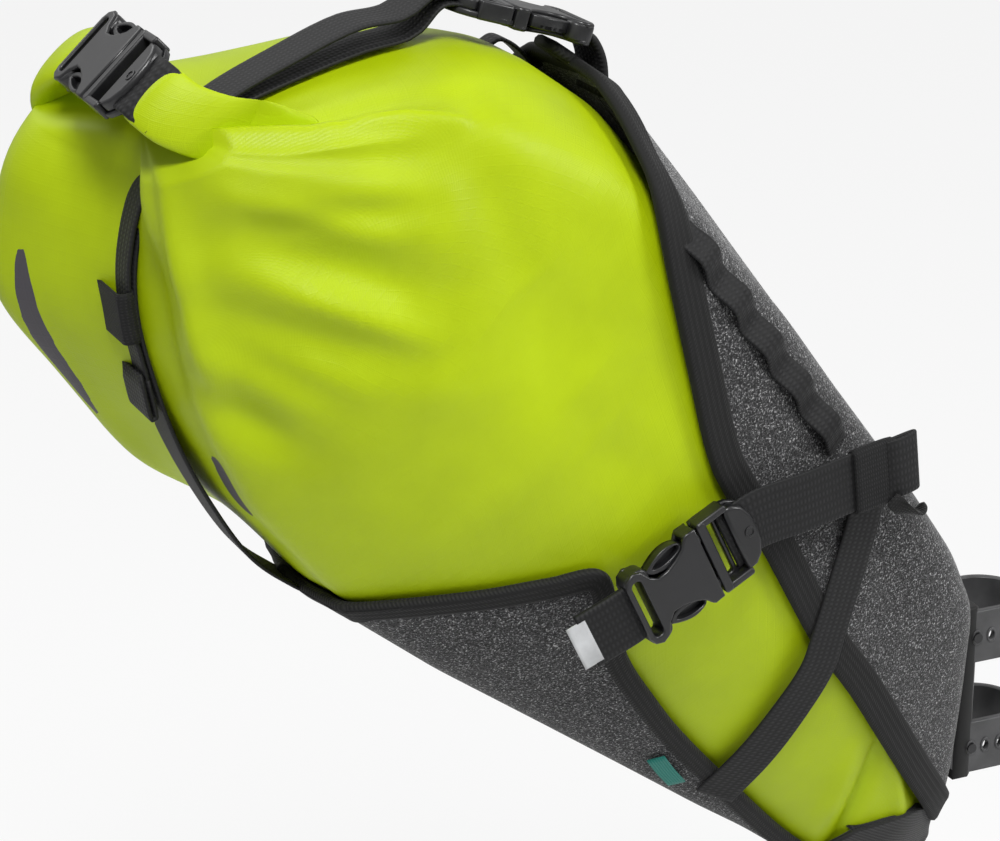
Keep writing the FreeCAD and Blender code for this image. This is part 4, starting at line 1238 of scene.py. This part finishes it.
def rubber_band(name, height):
    """Band round the post, open at its free end: a fine sheet in (length, height) whose faces
    inside each oval are left out, with the oval's edge pulled exactly onto its line, then carried
    round the plan-view path and thickened."""
    r = POST_R + RUBBER_T / 2
    turn = np.linspace(-math.pi / 2, math.pi / 2, 40)
    plan = np.concatenate([[(-27 * MM, -r), (-18 * MM, -r), (-9 * MM, -r)],
                           np.stack([r * np.cos(turn), r * np.sin(turn)], 1),
                           [(-11 * MM, r), (-22 * MM, r)]])
    steps = walked(plan)
    columns, rows = int(steps[-1] / (0.55 * MM)), 44
    u, v = np.meshgrid(np.linspace(0, steps[-1], columns), np.linspace(-0.5, 0.5, rows) * RUBBER_H,
                       indexing="ij")
    end = np.sqrt(np.clip(1 - (np.clip(11 * MM - u, 0, None) / (11 * MM)) ** 2, 0, 1))
    v = v * (0.25 + 0.75 * end)
    solid = np.ones((columns - 1, rows - 1), bool)
    for spot in HOLES:
        du, dv = u - spot * MM, v
        radius = np.sqrt((du / HOLE_HALF[0]) ** 2 + (dv / HOLE_HALF[1]) ** 2)
        near = (radius > 0.82) & (radius < 1.22)
        u = np.where(near, spot * MM + du / np.maximum(radius, 0.1), u)
        v = np.where(near, dv / np.maximum(radius, 0.1), v)
        middle = (radius[:-1, :-1] + radius[1:, :-1] + radius[:-1, 1:] + radius[1:, 1:]) / 4
        solid &= middle > 1.0
    spots = np.stack([np.interp(u, steps, plan[:, 0]), np.interp(u, steps, plan[:, 1]), v + height], -1)
    index = np.arange(columns * rows).reshape(columns, rows)
    faces = np.stack([index[:-1, :-1], index[1:, :-1], index[1:, 1:], index[:-1, 1:]], -1)[solid]
    used, faces = np.unique(faces, return_inverse=True)
    obj = mesh_object(name, spots.reshape(-1, 3)[used], faces.reshape(-1, 4))
    thick = obj.modifiers.new("Thickness", "SOLIDIFY")
    thick.thickness = RUBBER_T
    thick.offset = 0.0
    rims = [obj]
    ring = np.linspace(0, 2 * math.pi, 28, endpoint=False)
    small = np.linspace(0, 2 * math.pi, 10, endpoint=False)
    for spot in HOLES:
        across = 1 + 0.24 * np.cos(small)
        ru = spot * MM + HOLE_HALF[0] * np.cos(ring)[:, None] * across
        rv = HOLE_HALF[1] * np.sin(ring)[:, None] * across
        x, y = np.interp(ru, steps, plan[:, 0]), np.interp(ru, steps, plan[:, 1])
        grow = (r + RUBBER_T / 2 + 0.25 * MM + 0.35 * MM * np.sin(small)) / r
        grow_x = np.where(x > 0, grow, 1.0)
        rim_spots = np.stack([x * grow_x, y * grow, rv + height], -1)
        rims.append(outward(grid(name + "_rim", np.concatenate([rim_spots, rim_spots[:1]]), wrap=True)))
    return rims


class BAG_OT_seatpost_end(bpy.types.Operator):
    """Seat post pad, two rubber straps with rimmed holes, and their studs"""
    bl_idname = "bag.seatpost_end"
    bl_label = "Seat post end"

    def execute(self, context):
        for name in ("upper", "lower"):
            low, high = (np.array(v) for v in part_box("rubber_end_" + name))
            height = (low[2] + high[2]) / 2
            band, *rims = rubber_band("rubber_band_" + name, height)
            rim = joined("rubber_rims_" + name, rims)
            for obj, nodes in ((band, ["rubber_loop_" + name, "rubber_end_" + name]), (rim, [])):
                dress(obj, "rubber", None, nodes)
                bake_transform(obj)
            place = (np.array([-15 * MM, POST_R + RUBBER_T, height]), np.array([1.0, 0, 0]),
                     np.array([0, 0, 1.0]), np.array([0, -1.0, 0]))
            tab = plate("rubber_tab_" + name, [np.array(rounded_box((-7, -11), (7, 20.5), 6)) * MM],
                        0.2 * MM, 2.8 * MM, 0.8 * MM, place)
            dress(tab, "rubber", "bag")
            stud = bpy.data.objects["strap_stud_" + name]
            stud.data.materials.clear()
            stud.data.materials.append(FINISH["plastic"])
        low, high = (np.array(v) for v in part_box("seatpost_pad"))
        groove = np.linspace(math.radians(152), math.radians(208), 16)
        arc = np.stack([POST_R * np.cos(groove), POST_R * np.sin(groove)], 1)
        reach = math.sqrt(POST_R ** 2 - high[0] ** 2) if POST_R > -high[0] else 0.0
        chamfer = 2 * MM
        outline = np.concatenate([[(high[0], reach)], arc[1:-1],
                                  [(high[0], -reach), (high[0], low[1] + chamfer),
                                   (high[0] - chamfer, low[1]), (low[0], low[1]), (low[0], high[1]),
                                   (high[0] - chamfer, high[1]), (high[0], high[1] - chamfer)]])
        middle = (low[2] + high[2]) / 2
        place = (np.array([0, 0, middle]), np.array([1.0, 0, 0]), np.array([0, 1.0, 0]),
                 np.array([0, 0, 1.0]))
        half = (high[2] - low[2]) / 2
        pad = plate("seatpost_pad_block", [outline], -half, half, 1.2 * MM, place)
        dress(pad, "boot", "bag", ["seatpost_pad"])
        return {"FINISHED"}


# ---------------------------------------------------------------- loops and pull tags
TOP_LOOPS = [((-226, 34, 300), (-208, 34, 279)), ((-206, 34, 281), (-193, 34, 263)),
             ((-150, 30, 222), (-133, 30, 194))]


class BAG_OT_small_parts(bpy.types.Operator):
    """Webbing loops on the far shoulder and the keepers' pull tags"""
    bl_idname = "bag.small_parts"
    bl_label = "Loops and pull tags"

    def execute(self, context):
        for k, (first, last) in enumerate(TOP_LOOPS):
            a, b = np.array(first) * MM, np.array(last) * MM
            run = unit(b - a)
            out = np.array([-run[2], 0, run[0]])
            out = out if out[2] > 0 else -out
            turn = np.linspace(0, math.pi, 9)
            half = np.linalg.norm(b - a) / 2
            rise = out * 8 * MM * np.sin(turn)[:, None] ** 0.7
            path = (a + b) / 2 - run * half * np.cos(turn)[:, None] + rise
            outs = -run * np.cos(turn)[:, None] + out * (0.3 + np.sin(turn)[:, None])
            obj = webbing("shoulder_loop_%d" % k, path, outs, 11 * MM, WEB_T, 40)
            dress(obj, "web", "bag")
        for label, side in (("right", RIGHT), ("left", LEFT)):
            spot = np.array(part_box("side_keeper_" + label)).mean(0)
            slide = np.array(joint_of("keeper_" + label + "_slide")["axis"])
            hang = np.array([0.25, 0.30 * side, -1.0])
            hang = unit(hang)
            path = spot + np.array([slide * 5 + hang * 12, slide * 8 + hang * 16 + [0, side * 3, 0],
                                    slide * 13 + hang * 18 + [0, side * 5, 0],
                                    slide * 17 + hang * 15 + [0, side * 6, 0]]) * MM
            rows = resampled(path, 26)
            share = np.linspace(0, 1, 26)
            reach = 5.2 * MM * np.sin(math.pi * np.clip(0.18 + share * 0.82, 0, 1)) ** 0.6 + 0.3 * MM
            run = np.gradient(rows, axis=0)
            run = unit(run)
            twist = np.linspace(0.3, 1.9, 26)[:, None]
            base = np.cross(run, [0, side, 0])
            across = base * np.cos(twist) + np.cross(run, base) * np.sin(twist)
            thick = np.cross(run, across)
            turn = np.linspace(0, 2 * math.pi, 14, endpoint=False)
            points = (rows[:, None] + across[:, None] * (reach[:, None] * np.cos(turn))[..., None]
                      + thick[:, None] * (1.0 * MM * np.sin(turn))[None, :, None])
            obj = outward(grid("pull_tag_" + label, points, wrap=True, caps="fan"))
            dress(obj, "boot", "side_keeper_" + label)
        return {"FINISHED"}


# ---------------------------------------------------------------- stage
VIEW_AZIMUTH, VIEW_LIFT = math.radians(-25.0), math.radians(20.0)
CAMERA_SPOT = (-0.7331, -1.0677, 0.5834)
CAMERA_LENS = 113.2


def area_light(name, direction, distance, size, power, target):
    """A square soft light that looks at the target."""
    data = bpy.data.lights.new(name, "AREA")
    data.shape = "SQUARE"
    data.size = size
    data.energy = power
    lamp = bpy.data.objects.new(name, data)
    bpy.context.scene.collection.objects.link(lamp)
    lamp.location = Vector(target) + Vector(direction).normalized() * distance
    lamp.rotation_euler = (Vector(target) - lamp.location).to_track_quat("-Z", "Y").to_euler()
    return lamp


class BAG_OT_stage(bpy.types.Operator):
    """Pale floor, soft studio lights and the camera"""
    bl_idname = "bag.stage"
    bl_label = "Stage"

    def execute(self, context):
        scene = context.scene
        scene.view_settings.view_transform = "Standard"
        camera_data = bpy.data.cameras.new("Camera")
        camera_data.lens = CAMERA_LENS
        camera_data.sensor_width = 36.0
        camera_data.clip_end = 50.0
        camera = bpy.data.objects.new("Camera", camera_data)
        scene.collection.objects.link(camera)
        camera.location = CAMERA_SPOT
        camera.rotation_euler = (math.pi / 2 - VIEW_LIFT, 0.0, VIEW_AZIMUTH)
        scene.camera = camera
        size = 12.0
        level = -0.25
        corners = [(-size, -size, level), (size, -size, level), (size, size, level), (-size, size, level)]
        floor = mesh_object("floor", np.array(corners), [[0, 1, 2, 3]])
        material = bpy.data.materials.new("Pale floor")
        material.use_nodes = True
        tree = material.node_tree
        shader = tree.nodes["Principled BSDF"]
        shader.inputs["Base Color"].default_value = (0.86, 0.86, 0.86, 1)
        shader.inputs["Roughness"].default_value = 0.9
        glow = tree.nodes.new("ShaderNodeEmission")
        path = tree.nodes.new("ShaderNodeLightPath")
        mix = tree.nodes.new("ShaderNodeMixShader")
        amount = add_math(tree, "MULTIPLY", path.outputs["Is Camera Ray"], 0.86)
        tree.links.new(amount, mix.inputs[0])
        tree.links.new(shader.outputs[0], mix.inputs[1])
        tree.links.new(glow.outputs[0], mix.inputs[2])
        tree.links.new(mix.outputs[0], tree.nodes["Material Output"].inputs[0])
        floor.data.materials.append(material)
        world = bpy.data.worlds.new("Studio")
        world.use_nodes = True
        tree = world.node_tree
        back = tree.nodes["Background"]
        back.inputs[0].default_value = (1, 1, 1, 1)
        path = tree.nodes.new("ShaderNodeLightPath")
        seen = add_math(tree, "MAXIMUM", path.outputs["Is Camera Ray"], add_math(
            tree, "MULTIPLY", path.outputs["Is Glossy Ray"], 0.6))
        strength = add_math(tree, "MAXIMUM", seen, 0.26)
        tree.links.new(strength, back.inputs[1])
        scene.world = world
        target = (-0.20, 0.0, 0.14)
        area_light("key", (-0.35, -0.80, 1.15), 1.7, 0.5, 20.0, target)
        area_light("side", (1.0, -0.70, 0.7), 1.8, 0.6, 12.0, target)
        area_light("rim", (-0.5, 0.8, 1.1), 1.8, 1.0, 8.0, target)
        return {"FINISHED"}


# ---------------------------------------------------------------- panel and run
class BAG_PT_panel(bpy.types.Panel):
    """Lists every step of the saddle bag"""
    bl_idname = "BAG_PT_panel"
    bl_label = "Saddle Bag"
    bl_space_type = "VIEW_3D"
    bl_region_type = "UI"
    bl_category = "Saddle Bag"

    def draw(self, context):
        layout = self.layout
        for group in (context.scene.bag_sizes, context.scene.bag_colours):
            for key in group.bl_rna.properties.keys():
                if key not in ("rna_type", "name"):
                    layout.prop(group, key)
        for operator in OPERATORS:
            layout.operator(operator.bl_idname)


OPERATORS = [BAG_OT_stage, BAG_OT_dry_bag, BAG_OT_harness, BAG_OT_bindings, BAG_OT_side_straps,
             BAG_OT_centre_strap, BAG_OT_roll_tabs, BAG_OT_buckles, BAG_OT_seatpost_end, BAG_OT_small_parts]
CLASSES = [BagColours, BagSizes] + OPERATORS + [BAG_PT_panel]


def register():
    for cls in CLASSES:
        bpy.utils.register_class(cls)
    bpy.types.Scene.bag_colours = bpy.props.PointerProperty(type=BagColours)
    bpy.types.Scene.bag_sizes = bpy.props.PointerProperty(type=BagSizes)


def unregister():
    del bpy.types.Scene.bag_sizes
    del bpy.types.Scene.bag_colours
    for cls in reversed(CLASSES):
        bpy.utils.unregister_class(cls)


def main():
    """Registers the add-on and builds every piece."""
    register()
    make_finishes()
    for operator in OPERATORS:
        getattr(bpy.ops.bag, operator.bl_idname.split(".")[1])()


if __name__ == "__main__":
    main()
